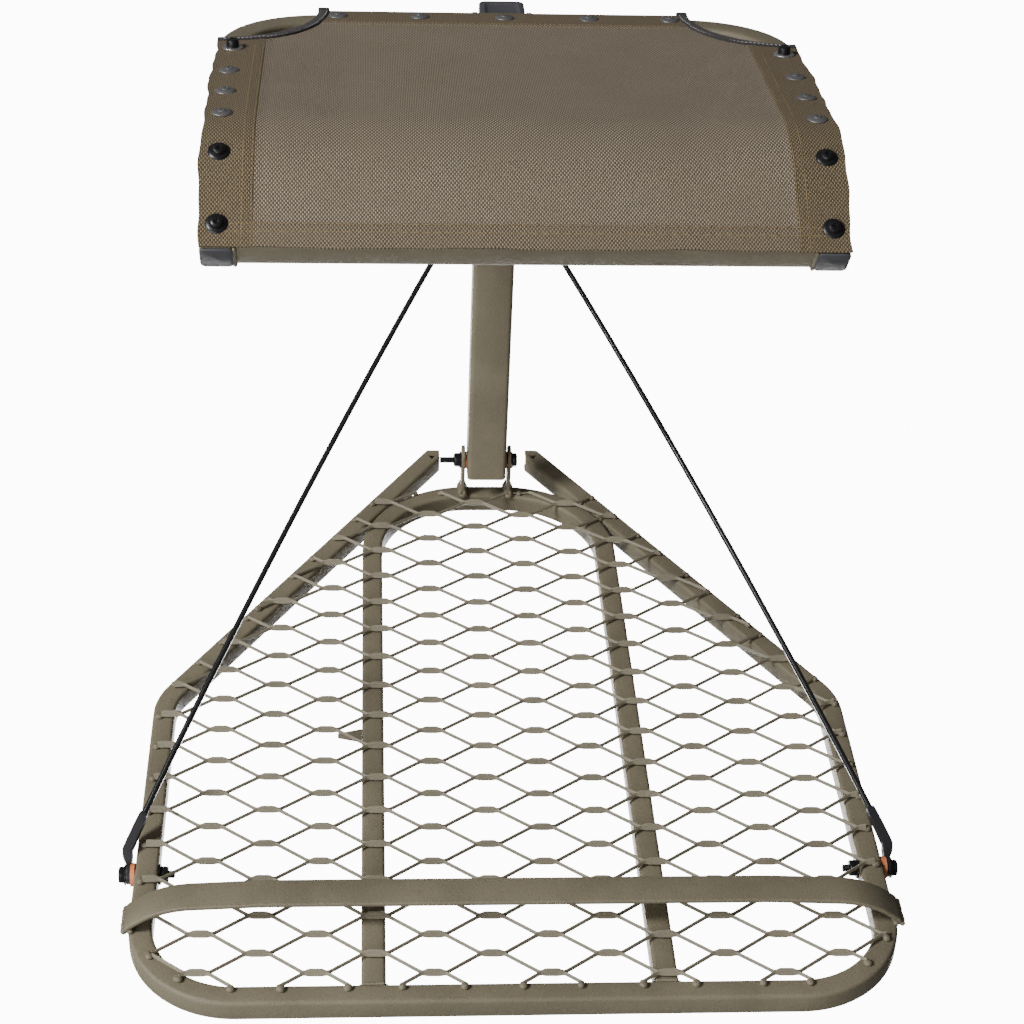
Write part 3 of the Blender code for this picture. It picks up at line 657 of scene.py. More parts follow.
def make_footrest():
    """A flat strap bent up from one side tube, across and down to the other."""
    x, shoulder, curl, bend, crown = HALF_WIDTH + 0.0015, 0.200, 0.010, 0.075, 0.30
    tip, steep, slope = math.radians(74), math.radians(36), math.radians(2.73)
    foot = GAP + REST_T / 2 * math.cos(tip)
    reach = bend * (math.sin(steep) - math.sin(slope)) + curl * (math.sin(tip) - math.sin(steep))
    rise = REST_HEIGHT - REST_T / 2 - foot - (x - shoulder - reach) * math.tan(slope)
    rise -= bend * (math.cos(slope) - math.cos(steep)) + curl * (math.cos(steep) - math.cos(tip))
    lead = rise / (math.sin(steep) - math.cos(steep) * math.tan(slope))
    slant = (x - shoulder - reach - lead * math.cos(steep)) / math.cos(slope) - crown * math.tan(slope / 2)
    ahead = Vector((math.cos(tip), 0, math.sin(tip)))
    up = Vector((-math.sin(tip), 0, math.cos(tip)))
    run = Drawn(0.028, REST_T, 0.0014, (-x, REST_Y, DECK_Z + foot), ahead, up, segments=3)
    turns = [math.degrees(a) for a in (tip - steep, steep - slope, slope)]
    run.turn(curl, turns[0], Y, 6).forward(lead).turn(bend, turns[1], Y, 14)
    run.forward(slant).turn(crown, turns[2], Y, 4)
    run.forward(2 * (shoulder - crown * math.tan(slope / 2))).turn(crown, turns[2], Y, 4)
    run.forward(slant).turn(bend, turns[1], Y, 14).forward(lead).turn(curl, turns[0], Y, 6)
    complete(run.bar(), "footrest_strap", PAINT, "platform", ["footrest_bar"], 40)
    beads = []
    for sign in (-1, 1):
        for at in (x + 0.0012, x - 0.0038):
            line = [(sign * at, REST_Y + y, DECK_Z + 0.0010) for y in (-0.0130, 0.0130)]
            beads.append(weld_bead(line, 0.0027, 25 + sign))
    complete_welds(beads, "footrest_welds", "platform")


EAR_T = 0.0035
EAR_IN = POST_SIZE / 2 + 0.0020


def make_ears():
    """Two round-topped ears, welded with a thick fillet to the back of the hoop."""
    for label, sign in SIDES:
        middle = sign * (EAR_IN + EAR_T / 2)
        top = FOLD_Z + 0.0155
        foot = DECK_Z + GAP
        select_none()
        bpy.ops.mesh.primitive_cube_add(size=1, location=(middle, POST_Y, (top + foot) / 2))
        ear = bpy.context.object
        ear.scale = (EAR_T, 0.020, top - foot)
        settle(ear)
        open_mesh(ear)
        select_where(ear, "EDGE", lambda e: all(v.co.z > FOLD_Z for v in e.verts)
                     and abs(e.verts[0].co.x - e.verts[1].co.x) > 0.001)
        bpy.ops.mesh.bevel(offset=0.0097, segments=10)
        close_mesh()
        modify(ear, "BEVEL", width=0.0006, segments=2, limit_method="ANGLE")
        complete(ear, f"fold_ear_{label}", PAINT, "platform", [f"hinge_ear_{label}"])
        fillets = []
        for face in (-1, 1):
            for grow, z in ((0.0030, 0.0008), (0.0020, 0.0036), (0.0011, 0.0060)):
                fx = middle + face * (EAR_T / 2 + grow * 0.15)
                line = [(fx, POST_Y - 0.0095, DECK_Z + z), (fx, POST_Y + 0.0095, DECK_Z + z)]
                fillets.append(weld_bead(line, grow, round(31 + face + z * 1000)))
        for face in (-1, 1):
            y = POST_Y + face * 0.0100
            ends = [(middle - 0.0018, y, DECK_Z + 0.0008), (middle + 0.0018, y, DECK_Z + 0.0008)]
            fillets.append(weld_bead(ends, 0.0030, 41 + face))
        complete_welds(fillets, f"ear_weld_{label}", "platform")


def make_leg_tab():
    """A small tapered tab on the outside of the hoop's left leg."""
    select_none()
    at = (-HOOP_X - TUBE / 2 - 0.0105, -0.397, DECK_Z - 0.0018)
    bpy.ops.mesh.primitive_cube_add(size=1, location=at)
    tab = bpy.context.object
    tab.scale = (0.0210, 0.016, 0.003)
    settle(tab)
    open_mesh(tab)
    select_where(tab, "FACE", lambda f: f.normal.x < -0.9)
    bpy.ops.transform.resize(value=(1, 0.28, 1), center_override=at)
    close_mesh()
    modify(tab, "BEVEL", width=0.0008, segments=2, limit_method="ANGLE")
    complete(tab, "leg_tab", PAINT, "platform")


def make_frame_welds():
    """Weld beads where the hoop meets the frame in front."""
    beads = []
    y = FRONT_Y + TUBE
    for sign in (-1, 1):
        for face in (-1, 1):
            x = sign * HOOP_X + face * (TUBE / 2 + 0.0004)
            beads.append(weld_bead([(x, y, DECK_Z - 0.003), (x, y, DECK_Z - 0.017)], 0.0020, 51 + face))
        top = [(sign * HOOP_X - 0.008, y, DECK_Z - 0.0004), (sign * HOOP_X + 0.008, y, DECK_Z - 0.0004)]
        beads.append(weld_bead(top, 0.0013, 55 + sign))
    complete_welds(beads, "frame_welds", "platform")


# Fasteners


def turned(profile, centre, axis, segments=32):
    """A turned solid: (distance along axis, radius) pairs, spun once round."""
    select_none()
    bpy.ops.mesh.primitive_circle_add(vertices=segments, radius=profile[0][1], fill_type="NGON")
    obj = bpy.context.object
    obj.location = (0, 0, profile[0][0])
    settle(obj)
    open_mesh(obj)
    bpy.ops.mesh.select_mode(type="FACE")
    reach, radius = profile[0]
    for far, wide in profile[1:]:
        bpy.ops.mesh.extrude_region_move(TRANSFORM_OT_translate={"value": (0, 0, far - reach)})
        share = wide / radius
        bpy.ops.transform.resize(value=(share, share, 1), center_override=(0, 0, far))
        reach, radius = far, wide
    bpy.ops.mesh.select_all(action="SELECT")
    bpy.ops.mesh.normals_make_consistent(inside=False)
    close_mesh()
    axis = Vector(axis)
    side = axis.orthogonal().normalized()
    return place(obj, facing(Vector(centre), side, axis.cross(side)))


def hexagon_block(across, height, centre, axis, bore=0.0):
    """A hexagon with turned-off corners, standing on centre along axis."""
    select_none()
    radius = across / 2 / math.cos(math.pi / 6)
    bpy.ops.mesh.primitive_cylinder_add(vertices=6, radius=radius, depth=height, location=(0, 0, height / 2))
    block = bpy.context.object
    chamfer = [(-0.001, radius * 1.2), (height * 0.72, radius * 1.02), (height, across * 0.43)]
    cone = turned(chamfer, (0, 0, 0), Z)
    modify(block, "BOOLEAN", operation="INTERSECT", solver="EXACT", object=cone)
    remove(cone)
    if bore:
        carve(block, turned([(-0.01, bore), (0.02, bore)], (0, 0, 0), Z, 20))
    modify(block, "BEVEL", width=0.0003, segments=2, limit_method="ANGLE")
    axis = Vector(axis)
    side = axis.orthogonal().normalized()
    return place(block, facing(Vector(centre), side, axis.cross(side)))


def threads(start, axis, length, radius, pitch=0.00125):
    """A bolt's threaded end: a core with a ridge at every pitch and a chamfered tip."""
    axis = Vector(axis)
    profile = [(-0.004, radius * 0.86)]
    count = int(length / pitch)
    for k in range(count):
        at = k * pitch
        profile += [(at, radius * 0.86), (at + pitch * 0.38, radius), (at + pitch * 0.55, radius)]
    profile += [(count * pitch, radius * 0.84), (length, radius * 0.72)]
    return turned(profile, start, axis, 24)


FLANGE = 0.0085
HEX_ACROSS = 0.013
HINGE_PLATE_IN = 0.0216
HINGE_PLATE_T = 0.0044


def flanged_hexagon(at, axis, rim, height):
    """A hexagon on a round flange that thins to rim."""
    flange = turned([(0, FLANGE), (0.0010, FLANGE), (0.0019, rim)], at, axis)
    return [flange, hexagon_block(HEX_ACROSS, height, at + axis * 0.0012, axis)]


def make_bolt(name, y, z, head_x, tail, out, body, nodes):
    """A flanged hex bolt, its head on the out side at head_x and its shank tail long."""
    axis = Vector((out, 0, 0))
    at = Vector((head_x, y, z))
    parts = flanged_hexagon(at, axis, FLANGE * 0.82, 0.0048)
    parts.append(turned([(0, 0.0039), (tail - 0.002, 0.0039)], at + axis * 0.001, -axis, 24))
    complete(join(parts), name, BLACK, body, nodes, 35)


def make_nut(name, y, z, seat_x, out, tail, body, nodes):
    """A flanged nut seated at seat_x, with the bolt's threaded end standing out of it."""
    axis = Vector((out, 0, 0))
    at = Vector((seat_x, y, z))
    parts = flanged_hexagon(at, axis, 0.0070, 0.0062)
    parts.append(threads(at + axis * 0.0060, axis, tail, 0.0032))
    complete(join(parts), name, BLACK, body, nodes, 35)


def make_fasteners():
    ear_out = EAR_IN + EAR_T + GAP
    make_bolt("fold_bolt_head", POST_Y, FOLD_Z, ear_out, 0.048, 1, "platform", ["fold_bolt"])
    make_nut("fold_bolt_nut", POST_Y, FOLD_Z, -ear_out, -1, 0.0150, "platform", ["fold_nut"])
    plate_out = HINGE_PLATE_IN + HINGE_PLATE_T + GAP
    make_bolt("seat_bolt_head", POST_Y, SEAT_PIVOT_Z, plate_out, 0.050, 1, "post", ["seat_pivot_bolt"])
    make_nut("seat_bolt_nut", POST_Y, SEAT_PIVOT_Z, -plate_out, -1, 0.0070, "post", ["seat_pivot_nut"])
    lug_out = UPPER_X + LUG_T / 2 + GAP
    make_bolt("anchor_bolt_head", POST_Y, ANCHOR_Z, lug_out, 0.042, 1, "post", ["anchor_bolt"])
    make_nut("anchor_bolt_nut", POST_Y, ANCHOR_Z, -lug_out, -1, 0.0070, "post", ["anchor_nut"])
    outer = LOWER_X + LUG_T / 2 + GAP
    inner = HALF_WIDTH - TUBE - GAP
    for label, sign in SIDES:
        make_bolt(f"side_bolt_{label}", SIDE_BOLT_Y, SIDE_BOLT_Z, sign * outer, 0.028, sign,
                  "platform", [f"cable_bolt_{label}"])
        make_nut(f"side_nut_{label}", SIDE_BOLT_Y, SIDE_BOLT_Z, sign * inner, -sign, 0.0065,
                 "platform", [f"cable_nut_{label}"])


# Cables


CABLE_RUN = Vector((0, POST_Y - SIDE_BOLT_Y, ANCHOR_Z - SIDE_BOLT_Z))
CABLE_YZ = CABLE_RUN.length


def cable_point(sign, distance):
    """The cable's centre at this distance along its run, bowed a little outwards by its own stiffness."""
    slant = min(max((distance - 0.020) / (CABLE_YZ - 0.032), 0.0), 1.0)
    share = min(max((distance - 0.010) / (CABLE_YZ - 0.020), 0.0), 1.0)
    bow = math.sin(math.pi * share) ** 0.6
    x = sign * (LOWER_X + (UPPER_X - LOWER_X) * slant + 0.0085 * bow)
    along = CABLE_RUN.normalized()
    return Vector((x, SIDE_BOLT_Y, SIDE_BOLT_Z)) + along * distance + X.cross(along) * 0.006 * bow


def make_lug(label, sign, at_anchor):
    """A pressed steel end: a flat eye, a neck and a square-shouldered sleeve on the cable."""
    select_none()
    bpy.ops.mesh.primitive_cube_add(size=1, location=(0, 0, -0.0068))
    lug = bpy.context.object
    lug.scale = (0.010, LUG_T, 0.0004)
    settle(lug)
    open_mesh(lug)
    select_where(lug, "FACE", lambda f: f.normal.z > 0.9)
    steps = [(-0.0050, 0.0140, 0.0030), (-0.0010, 0.0168, 0.0030), (0.0040, 0.0160, 0.0030)]
    steps += [(0.0075, 0.0130, 0.0036), (0.0105, 0.0104, 0.0060), (0.0140, 0.0092, 0.0080)]
    steps += [(0.0180, 0.0086, 0.0084), (0.0340, 0.0080, 0.0078), (0.0480, 0.0076, 0.0074)]
    steps += [(0.0500, 0.0068, 0.0066), (0.0508, 0.0056, 0.0054)]
    reach, wide, thick = -0.0066, 0.010, LUG_T
    for far, w, t in steps:
        bpy.ops.mesh.extrude_region_move(TRANSFORM_OT_translate={"value": (0, 0, far - reach)})
        bpy.ops.transform.resize(value=(w / wide, t / thick, 1), center_override=(0, 0, far))
        reach, wide, thick = far, w, t
    close_mesh()
    modify(lug, "BEVEL", width=0.0009, segments=2, limit_method="ANGLE", angle_limit=math.radians(50))
    modify(lug, "SUBSURF", levels=1, render_levels=1)
    for vertex in lug.data.vertices:
        local = vertex.co.copy()
        here = CABLE_YZ - local.z if at_anchor else local.z
        ahead = cable_point(sign, here + 0.004) - cable_point(sign, here - 0.004)
        tangent = ahead.normalized()
        across = Vector((0, -tangent.z, tangent.y)).normalized()
        flat = tangent.cross(across).normalized()
        vertex.co = cable_point(sign, here) + across * local.x + flat * local.y
    where = "upper" if at_anchor else "lower"
    body = f"anchor_lug_{label}" if at_anchor else f"cable_lower_{label}"
    node = f"cable_lug_{where}_{label}"
    complete(recalculate(lug), f"cable_end_{where}_{label}", LUG_BLACK, body, [node], 40)


def make_cable(label, sign):
    """One length of coated cable from sleeve to sleeve."""
    start, end = 0.044, CABLE_YZ - 0.044
    curve = bpy.data.curves.new(f"cable_{label}", "CURVE")
    curve.dimensions = "3D"
    curve.bevel_depth = CABLE_R
    curve.bevel_resolution = 3
    curve.use_fill_caps = True
    spline = curve.splines.new("POLY")
    count = 90
    spline.points.add(count)
    for k, point in enumerate(spline.points):
        point.co = (*cable_point(sign, start + (end - start) * k / count), 1)
    obj = bpy.data.objects.new(f"cable_{label}", curve)
    bpy.context.scene.collection.objects.link(obj)
    select_only(obj)
    bpy.ops.object.convert(target="MESH")
    obj = bpy.context.object
    bpy.ops.object.shade_smooth_by_angle(angle=math.radians(50))
    obj.data.materials.clear()
    obj.data.materials.append(CABLE_SKIN)
    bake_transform(obj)
    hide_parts(f"cable_lower_{label}", f"cable_upper_{label}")


# Seat


def seat_at(u, v):
    """(point, forward, up) on the seat frame's middle surface, v metres ahead of the rear rail."""
    bend = SEAT_TILT + SEAT_DROP
    turned_by = min(max((v - SEAT_PAN) / SEAT_BEND_RADIUS, 0.0), bend)
    flat = min(v, SEAT_PAN)
    beyond = max(v - SEAT_PAN - SEAT_BEND, 0.0)
    angle = SEAT_TILT - turned_by
    point = SEAT_REAR + Vector((u, -math.cos(SEAT_TILT) * flat, math.sin(SEAT_TILT) * flat))
    point.y -= SEAT_BEND_RADIUS * (math.sin(SEAT_TILT) - math.sin(angle))
    point.z += SEAT_BEND_RADIUS * (math.cos(angle) - math.cos(SEAT_TILT))
    forward = Vector((0, -math.cos(angle), math.sin(angle)))
    return point + forward * beyond, forward, Vector((0, math.sin(angle), math.cos(angle)))


def on_seat(u, v, height):
    point, _, up = seat_at(u, v)
    return point + up * height


def lay_on_seat(obj):
    """Wraps a piece made flat, with X across and -Y forward, onto the seat."""
    for vertex in obj.data.vertices:
        vertex.co = on_seat(vertex.co.x, -vertex.co.y, vertex.co.z)
    return recalculate(obj)


def make_seat_frame():
    half = SEAT_HALF - SEAT_TUBE / 2
    end, forward, up = seat_at(half, SEAT_LENGTH)
    lean = math.degrees(SEAT_TILT + SEAT_DROP)
    pan_up = seat_at(0, 0)[2]
    run = Drawn(SEAT_TUBE, SEAT_TUBE, 0.0042, end, -forward, up)
    run.forward(SEAT_FRONT).turn(SEAT_BEND_RADIUS, -lean, X, 16).forward(SEAT_PAN - SEAT_CORNER)
    run.turn(SEAT_CORNER, 90, pan_up, 26).forward(2 * (half - SEAT_CORNER)).turn(SEAT_CORNER, 90, pan_up, 26)
    run.forward(SEAT_PAN - SEAT_CORNER).turn(SEAT_BEND_RADIUS, lean, X, 16).forward(SEAT_FRONT)
    complete(run.pipe(SEAT_WALL), "seat_frame_tube", PAINT, "seat", ["seat_frame"])
    v = SEAT_LENGTH - SEAT_TUBE / 2
    reach = SEAT_HALF - SEAT_TUBE - GAP
    start = on_seat(-reach, v, 0)
    rail = Drawn(SEAT_TUBE, SEAT_TUBE, 0.0040, start, X, seat_at(0, v)[2]).forward(2 * reach).pipe(SEAT_WALL)
    complete(rail, "seat_front_rail", PAINT, "seat", ["seat_crossbar"])
    beads = []
    for sign in (-1, 1):
        u = sign * (SEAT_HALF - SEAT_TUBE - 0.0002)
        low = -SEAT_TUBE / 2
        corners = [on_seat(u, SEAT_LENGTH - SEAT_TUBE, low), on_seat(u, SEAT_LENGTH, low)]
        corners.append(on_seat(u, SEAT_LENGTH, SEAT_TUBE / 2 - 0.001))
        beads.append(weld_bead(corners, 0.0017, 61 + sign))
    complete_welds(beads, "seat_welds", "seat")


def half_width(v):
    """Half the sling's width, hollowed by a quarter circle at each rear corner."""
    ahead = v - SLING_REAR
    if ahead >= CUT_RADIUS:
        return SLING_EDGE
    return SLING_EDGE - math.sqrt(CUT_RADIUS**2 - ahead**2)


SIDE_SCREWS = (0.094, 0.154, 0.206, 0.256, 0.301, 0.361)
REAR_SCREWS = (-0.1432, -0.073, 0.0, 0.073, 0.1432)
SCREW_U = SEAT_HALF - SEAT_TUBE / 2


def sling_height(u, v):
    """The cloth's upper face above the frame's middle: tight over the rails, slack between them."""
    height = CLOTH_FACE
    between = ease(0.2150 - abs(u), 0.0, 0.09) * ease(v, 0.012, 0.10) * ease(0.360 - v, 0.0, 0.09)
    height -= 0.0036 * between
    doubled = max(ease(abs(u), HEM_U - 0.001, HEM_U + 0.001), ease(v, HEM_FRONT - 0.001, HEM_FRONT + 0.001),
                  ease(HEM_REAR - v, -0.001, 0.001))
    height += 0.0007 * doubled
    for sv in SIDE_SCREWS:
        away = math.hypot(abs(u) - SCREW_U, v - sv)
        height -= 0.0005 * ease(0.020 - away, 0.0, 0.014)
    return height


def edge_waver(along):
    """How far the cloth's edge strays: three slow waves, none in step with another."""
    return 0.0009 * (math.sin(along) + 0.6 * math.sin(2.3 * along + 1.1) + 0.4 * math.sin(4.9 * along + 2.0))


def make_sling():
    """The seat cloth: one sheet stretched from side rail to side rail and over the bend."""
    columns, rows = 132, 120
    select_none()
    bpy.ops.mesh.primitive_grid_add(x_subdivisions=columns, y_subdivisions=rows, size=1)
    sling = bpy.context.object
    uvs = sling.data.uv_layers.active or sling.data.uv_layers.new(name="cloth")
    flat = []
    for vertex in sling.data.vertices:
        s, t = vertex.co.x * 2, 0.5 - vertex.co.y
        t = t * t * 0.35 + t * 0.65
        v = SLING_REAR + CLOTH_LENGTH * t
        v += 0.6 * edge_waver(s * 9) * ease(t, 0.9, 1.0)
        out = edge_waver(v * 45 + (7 if s > 0 else 0)) * ease(v, 0.08, 0.10)
        flat.append((s * (half_width(v) + out * ease(abs(s), 0.9, 1.0)), v))
    for loop in sling.data.loops:
        uvs.data[loop.index].uv = flat[loop.vertex_index]
    for vertex, (u, v) in zip(sling.data.vertices, flat):
        vertex.co = on_seat(u, v, sling_height(u, v))
    recalculate(sling)
    if sum(f.normal.z for f in sling.data.polygons) < 0:
        open_mesh(sling)
        bpy.ops.mesh.flip_normals()
        close_mesh()
    modify(sling, "SOLIDIFY", thickness=0.0013, offset=-1)
    complete(sling, "sling_cloth", SLING, "seat", ["seat_sling"], 50)
    return sling


def stitch_row(path, length=0.0030, gap=0.0011):
    """(middle, direction) of each stitch laid end to end along a flat line of (u, v) points."""
    stitches = []
    for a, b in zip(path, path[1:]):
        a, b = Vector(a), Vector(b)
        count = max(1, round((b - a).length / (length + gap)))
        for k in range(count):
            stitches.append((a.lerp(b, (k + 0.5) / count), b - a))
    return stitches


def make_stitches(name, finish, stitches, lift, size):
    """Copies one stitch to every place in the list."""
    select_none()
    bpy.ops.mesh.primitive_cylinder_add(vertices=6, radius=0.5, depth=1, end_fill_type="NGON")
    one = bpy.context.object
    one.rotation_euler = (0, math.pi / 2, 0)
    settle(one)
    open_mesh(one)
    select_where(one, "FACE", lambda f: abs(f.normal.x) > 0.9)
    bpy.ops.mesh.bevel(offset=0.2, segments=1)
    close_mesh()
    row = []
    for (u, v), along in stitches:
        angle = math.atan2(-along[1], along[0])
        stitch = copy_of(one)
        for vertex in stitch.data.vertices:
            x, y, z = (co * extent for co, extent in zip(vertex.co, size))
            across = u + x * math.cos(angle) - y * math.sin(angle)
            ahead = v - x * math.sin(angle) - y * math.cos(angle)
            vertex.co = on_seat(across, ahead, sling_height(u, v) + lift + z)
        row.append(stitch)
    remove(one)
    return complete(recalculate(join(row)), name, finish, "seat", smooth=50)


def make_stitching():
    stitches = []
    for sign in (-1, 1):
        for u in (HEM_U + 0.0015, HEM_U + 0.0085):
            line = [(sign * u, 0.088 + 0.29 * k / 6) for k in range(7)]
            stitches += stitch_row(line)
    for v in (HEM_FRONT + 0.0015, HEM_FRONT + 0.0080):
        stitches += stitch_row([(-0.232, v), (-0.1, v), (0.0, v), (0.1, v), (0.232, v)])
    for v in (HEM_REAR - 0.0015, HEM_REAR + 0.0040):
        reach = 0.150 if v < HEM_REAR else 0.146
        stitches += stitch_row([(-reach, v), (0.0, v), (reach, v)])
    size = (0.0030, 0.0007, 0.0005)
    return make_stitches("seat_stitching", THREAD, stitches, 0.00005, size)


def make_binding(label, sign):
    """Tape folded over the edge of a rear corner cut-out."""
    centre = Vector((sign * SLING_EDGE, -SLING_REAR, 0))
    inner, outer = CUT_RADIUS - 0.0055, CUT_RADIUS + 0.0042
    at = centre + Vector((0, -(inner + outer) / 2, CLOTH_FACE - 0.0004))
    run = Drawn(outer - inner, 0.0036, 0.0012, at, Vector((-sign, 0, 0)), Z, segments=3)
    run.turn((inner + outer) / 2, -sign * 90, Z, 30)
    run.forward(0.004)
    tape = run.bar()
    modify(tape, "SUBSURF", levels=1, render_levels=1, subdivision_type="SIMPLE")
    dice = random.Random(71 + sign)
    for vertex in tape.data.vertices:
        vertex.co.z += dice.uniform(-0.00008, 0.00008)
        if vertex.co.y > -SLING_REAR:
            vertex.co.z += 0.0010
    lay_on_seat(tape)
    complete(tape, f"corner_tape_{label}", TAPE, "seat", [f"seat_binding_{label}"], 50)
    return tape


def make_tape_stitches():
    stitches = []
    for sign in (-1, 1):
        r = CUT_RADIUS + 0.0024
        line = []
        for k in range(19):
            a = math.radians(3 + 84 * k / 18)
            line.append((sign * (SLING_EDGE - r * math.cos(a)), SLING_REAR + r * math.sin(a)))
        stitches += stitch_row(line, 0.0022, 0.0016)
    size = (0.0022, 0.0008, 0.0006)
    return make_stitches("tape_stitching", PALE_THREAD, stitches, 0.0016, size)


def screw_parts(kind):
    """[(solid, finish)] of one seat screw, standing at the origin along Z."""
    if kind == "tall":
        washer = turned([(0, 0.0086), (0.0011, 0.0086), (0.0014, 0.0080)], (0, 0, 0), Z)
        head = turned([(0, 0.0052), (0.0012, 0.0052), (0.0050, 0.0050), (0.0064, 0.0036)], (0, 0, 0.0014), Z)
        slit_height = 0.0078
        parts = [(washer, BRIGHT), (head, BLACK)]
    elif kind == "black":
        washer = turned([(0, 0.0084), (0.0009, 0.0083), (0.0017, 0.0070), (0.0022, 0.0052)], (0, 0, 0), Z)
        head = turned([(0, 0.0050), (0.0014, 0.0049), (0.0026, 0.0041), (0.0032, 0.0026)], (0, 0, 0.0019), Z)
        slit_height = 0.0051
        parts = [(washer, BLACK), (head, BLACK)]
    else:
        profile = [(0, 0.0082), (0.0007, 0.0081), (0.0014, 0.0068), (0.0020, 0.0050), (0.0021, 0.0036)]
        washer = turned(profile, (0, 0, 0), Z)
        head = turned([(0, 0.0034), (0.0006, 0.0033), (0.0010, 0.0022)], (0, 0, 0.0018), Z)
        slit_height = 0.0028
        parts = [(washer, ZINC), (head, ZINC)]
    for turn in (0.4, 0.4 + math.pi / 2):
        select_none()
        bpy.ops.mesh.primitive_cube_add(size=1, location=(0, 0, slit_height))
        slit = bpy.context.object
        slit.scale = (0.0044, 0.0009, 0.0022)
        slit.rotation_euler = (0, 0, turn)
        carve(head, settle(slit))
    for solid, _ in parts:
        modify(solid, "BEVEL", width=0.00025, segments=2, limit_method="ANGLE")
    return parts


def make_seat_screws():
    masters = {kind: screw_parts(kind) for kind in ("tall", "black", "grey")}
    places = []
    for label, sign in SIDES:
        for number, v in enumerate(SIDE_SCREWS, 1):
            kind = {1: "tall", 5: "black", 6: "black"}.get(number, "grey")
            places.append((f"seat_screw_{label}_{number}", sign * SCREW_U, v, kind))
    for number, u in enumerate(REAR_SCREWS, 1):
        places.append((f"seat_screw_rear_{number}", u, 0.0, "grey"))
    dice = random.Random(5)
    for node, u, v, kind in places:
        forward = seat_at(u, v)[1]
        tip = Matrix.Rotation(dice.uniform(-0.05, 0.05), 4, "X") @ Matrix.Rotation(dice.uniform(-3, 3), 4, "Z")
        where = facing(on_seat(u, v, sling_height(u, v) - 0.0002), X, -forward) @ tip
        for part, (solid, finish) in zip(("washer", "head"), masters[kind]):
            made = place(copy_of(solid), where)
            stands_for = [node] if part == "head" else []
            complete(made, f"{node}_{part}", finish, "seat", stands_for, 35)
    for parts in masters.values():
        for solid, _ in parts:
            remove(solid)


def make_seat_plugs():
    """Grey plugs in the open ends of the seat's side rails."""
    half = SEAT_HALF - SEAT_TUBE / 2
    for label, sign in SIDES:
        end, forward, up = seat_at(sign * half, SEAT_LENGTH)
        run = Drawn(SEAT_TUBE, SEAT_TUBE, 0.0040, end + forward * GAP, forward, up).forward(0.0010)
        run.forward(0.0007)
        share = (SEAT_TUBE - 0.0016) / SEAT_TUBE
        bpy.ops.transform.resize(value=(share, share, share), center_override=run.here)
        plug_and_shade_block = run.bar()
        modify(plug_and_shade_block, "BEVEL", width=0.0003, segments=2, limit_method="ANGLE", angle_limit=math.radians(40))
        complete(plug_and_shade_block, f"rail_plug_{label}", GREY_PLASTIC, "seat", [f"seat_plug_{label}"], 40)


# Post


def make_post():
    start = Vector((0, POST_Y, POST_BOTTOM))
    run = Drawn(POST_SIZE, POST_SIZE, 0.0042, start, Z, Y).forward(POST_TOP - POST_BOTTOM)
    complete(run.pipe(0.002), "post_upright", PAINT, "post", ["post_tube"])


def make_post_cap():
    """A grey cap over the post's end, with a skirt, a rolled edge and a shallow dish."""
    size = POST_SIZE + 0.0018
    run = Drawn(size, size, 0.0048, Vector((0, POST_Y, POST_TOP - 0.0075)), Z, Y)
    run.forward(0.0092)
    levels = [(0.0010, 0.985), (0.0006, 0.950), (0.0000, 0.80), (-0.0008, 0.94), (-0.0004, 0.80)]
    for rise, share in levels:
        run.forward(rise)
        bpy.ops.transform.resize(value=(share, share, 1), center_override=run.here)
    cap = run.bar()
    modify(cap, "BEVEL", width=0.0003, segments=2, limit_method="ANGLE", angle_limit=math.radians(40))
    complete(cap, "post_end_cap", GREY_PLASTIC, "post", ["post_cap"], 40)


def repaint_cad():
    """Finishes for the CAD pieces that are shown as they are."""
    finishes = {"tree_bracket": PAINT, "seat_stop_plate": PAINT}
    for label, _ in SIDES:
        finishes[f"seat_hinge_plate_{label}"] = PAINT
        finishes[f"pivot_bushing_{label}"] = ORANGE
        finishes[f"cable_spacer_{label}"] = ORANGE
    for name, finish in finishes.items():
        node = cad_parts[name]
        for holder in node.material_slots:
            holder.material = finish


# Studio


PITCH = math.radians(34.949)
YAW = math.radians(4.399)
ROLL = math.radians(2.547)
LENS = 81.04
CAMERA_AT = Vector((-0.1184, -1.9299, 0.8553))
AIM = (0, -0.35, -0.2)
FLOOR_Z = -2.8
FLOOR_GLOW = 12.0
WORLD_GLOW = 0.12


def make_camera():
    look = Vector((math.sin(YAW) * math.cos(PITCH), math.cos(YAW) * math.cos(PITCH), -math.sin(PITCH)))
    right = look.cross(Z).normalized()
    up = right.cross(look)
    rolled_right = right * math.cos(ROLL) + up * math.sin(ROLL)
    rolled_up = up * math.cos(ROLL) - right * math.sin(ROLL)
    select_none()
    bpy.ops.object.camera_add()
    camera = bpy.context.object
    camera.matrix_world = facing(CAMERA_AT, rolled_right, rolled_up)
    camera.data.lens = LENS
    camera.data.sensor_width = 36
    camera.data.clip_start = 0.05
    bpy.context.scene.camera = camera


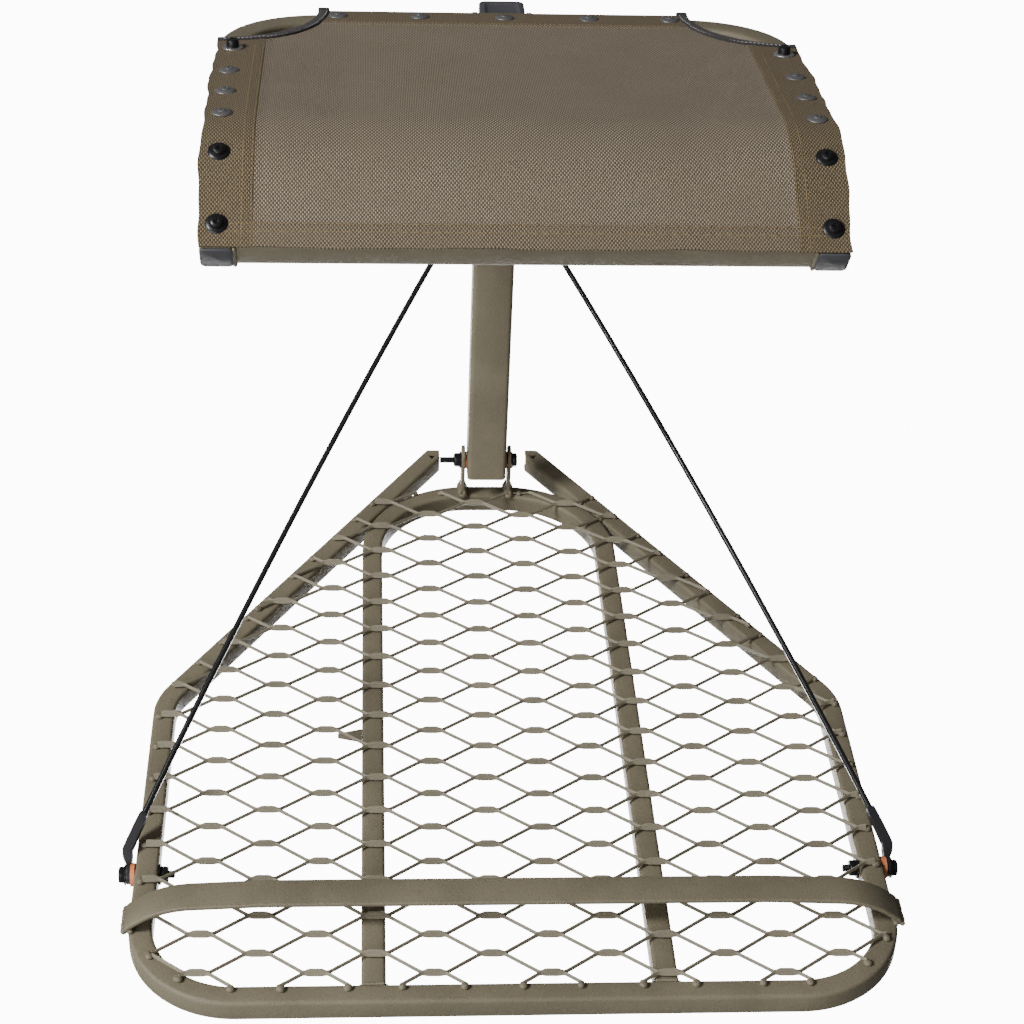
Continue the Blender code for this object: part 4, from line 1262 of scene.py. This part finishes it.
def make_light(name, at, size, power):
    select_none()
    bpy.ops.object.light_add(type="AREA", location=at)
    light = bpy.context.object
    light.name = name
    light.data.shape = "RECTANGLE"
    light.data.size, light.data.size_y = size
    light.data.energy = power
    toward = Vector(AIM) - Vector(at)
    light.rotation_euler = toward.to_track_quat("-Z", "Y").to_euler()


def make_studio():
    """A pale floor with a pool of light behind the stand, a key light from the left and a soft fill."""
    f = Finish("studio_floor", emission_strength=FLOOR_GLOW)
    spot = f.object_place()
    across = f.node("ShaderNodeSeparateXYZ", {0: spot}, out=0)
    deep = f.node("ShaderNodeSeparateXYZ", {0: spot}, out=1)
    beyond = (across - 0.077 * deep - 0.03).maths("ABSOLUTE") - 0.20 * deep
    pool = f.band(beyond, 1.10, 1.45, 1.0, 0.0) * f.band(deep, 0.85, 1.20)
    pool = pool * f.band(deep, 7.6, 8.6, 1.0, 0.0)
    glow = f.mix(pool, (0, 0, 0), (1, 1, 1))
    select_none()
    bpy.ops.mesh.primitive_plane_add(size=30, location=(0, 6, FLOOR_Z))
    ground = settle(bpy.context.object)
    ground.name = "studio_floor"
    ground.data.materials.append(f.coat(base_color=(0.5, 0.5, 0.5), roughness=0.9, emission_color=glow))
    make_light("key_light", (-3.0, -1.6, 2.6), (1.0, 1.0), 210)
    make_light("front_fill", (-1.8, -3.3, 0.3), (2.4, 1.8), 84)
    world = bpy.data.worlds.new("studio_world")
    bpy.context.scene.world = world
    world.use_nodes = True
    sky = world.node_tree.nodes["Background"]
    sky.inputs["Color"].default_value = (1, 1, 1, 1)
    sky.inputs["Strength"].default_value = WORLD_GLOW


make_camera()
make_outer_frame()
make_hoop()
make_deck()
make_footrest()
make_ears()
make_leg_tab()
make_frame_welds()
make_fasteners()
for label, sign in SIDES:
    make_lug(label, sign, False)
    make_lug(label, sign, True)
    make_cable(label, sign)
make_seat_frame()
sling = make_sling()
stitching = make_stitching()
tapes = [make_binding(label, sign) for label, sign in SIDES]
tape_stitching = make_tape_stitches()
2 * SLING_EDGE * CLOTH_LENGTH - math.pi / 2 * CUT_RADIUS**2
make_seat_screws()
make_seat_plugs()
make_post()
make_post_cap()
repaint_cad()
make_studio()
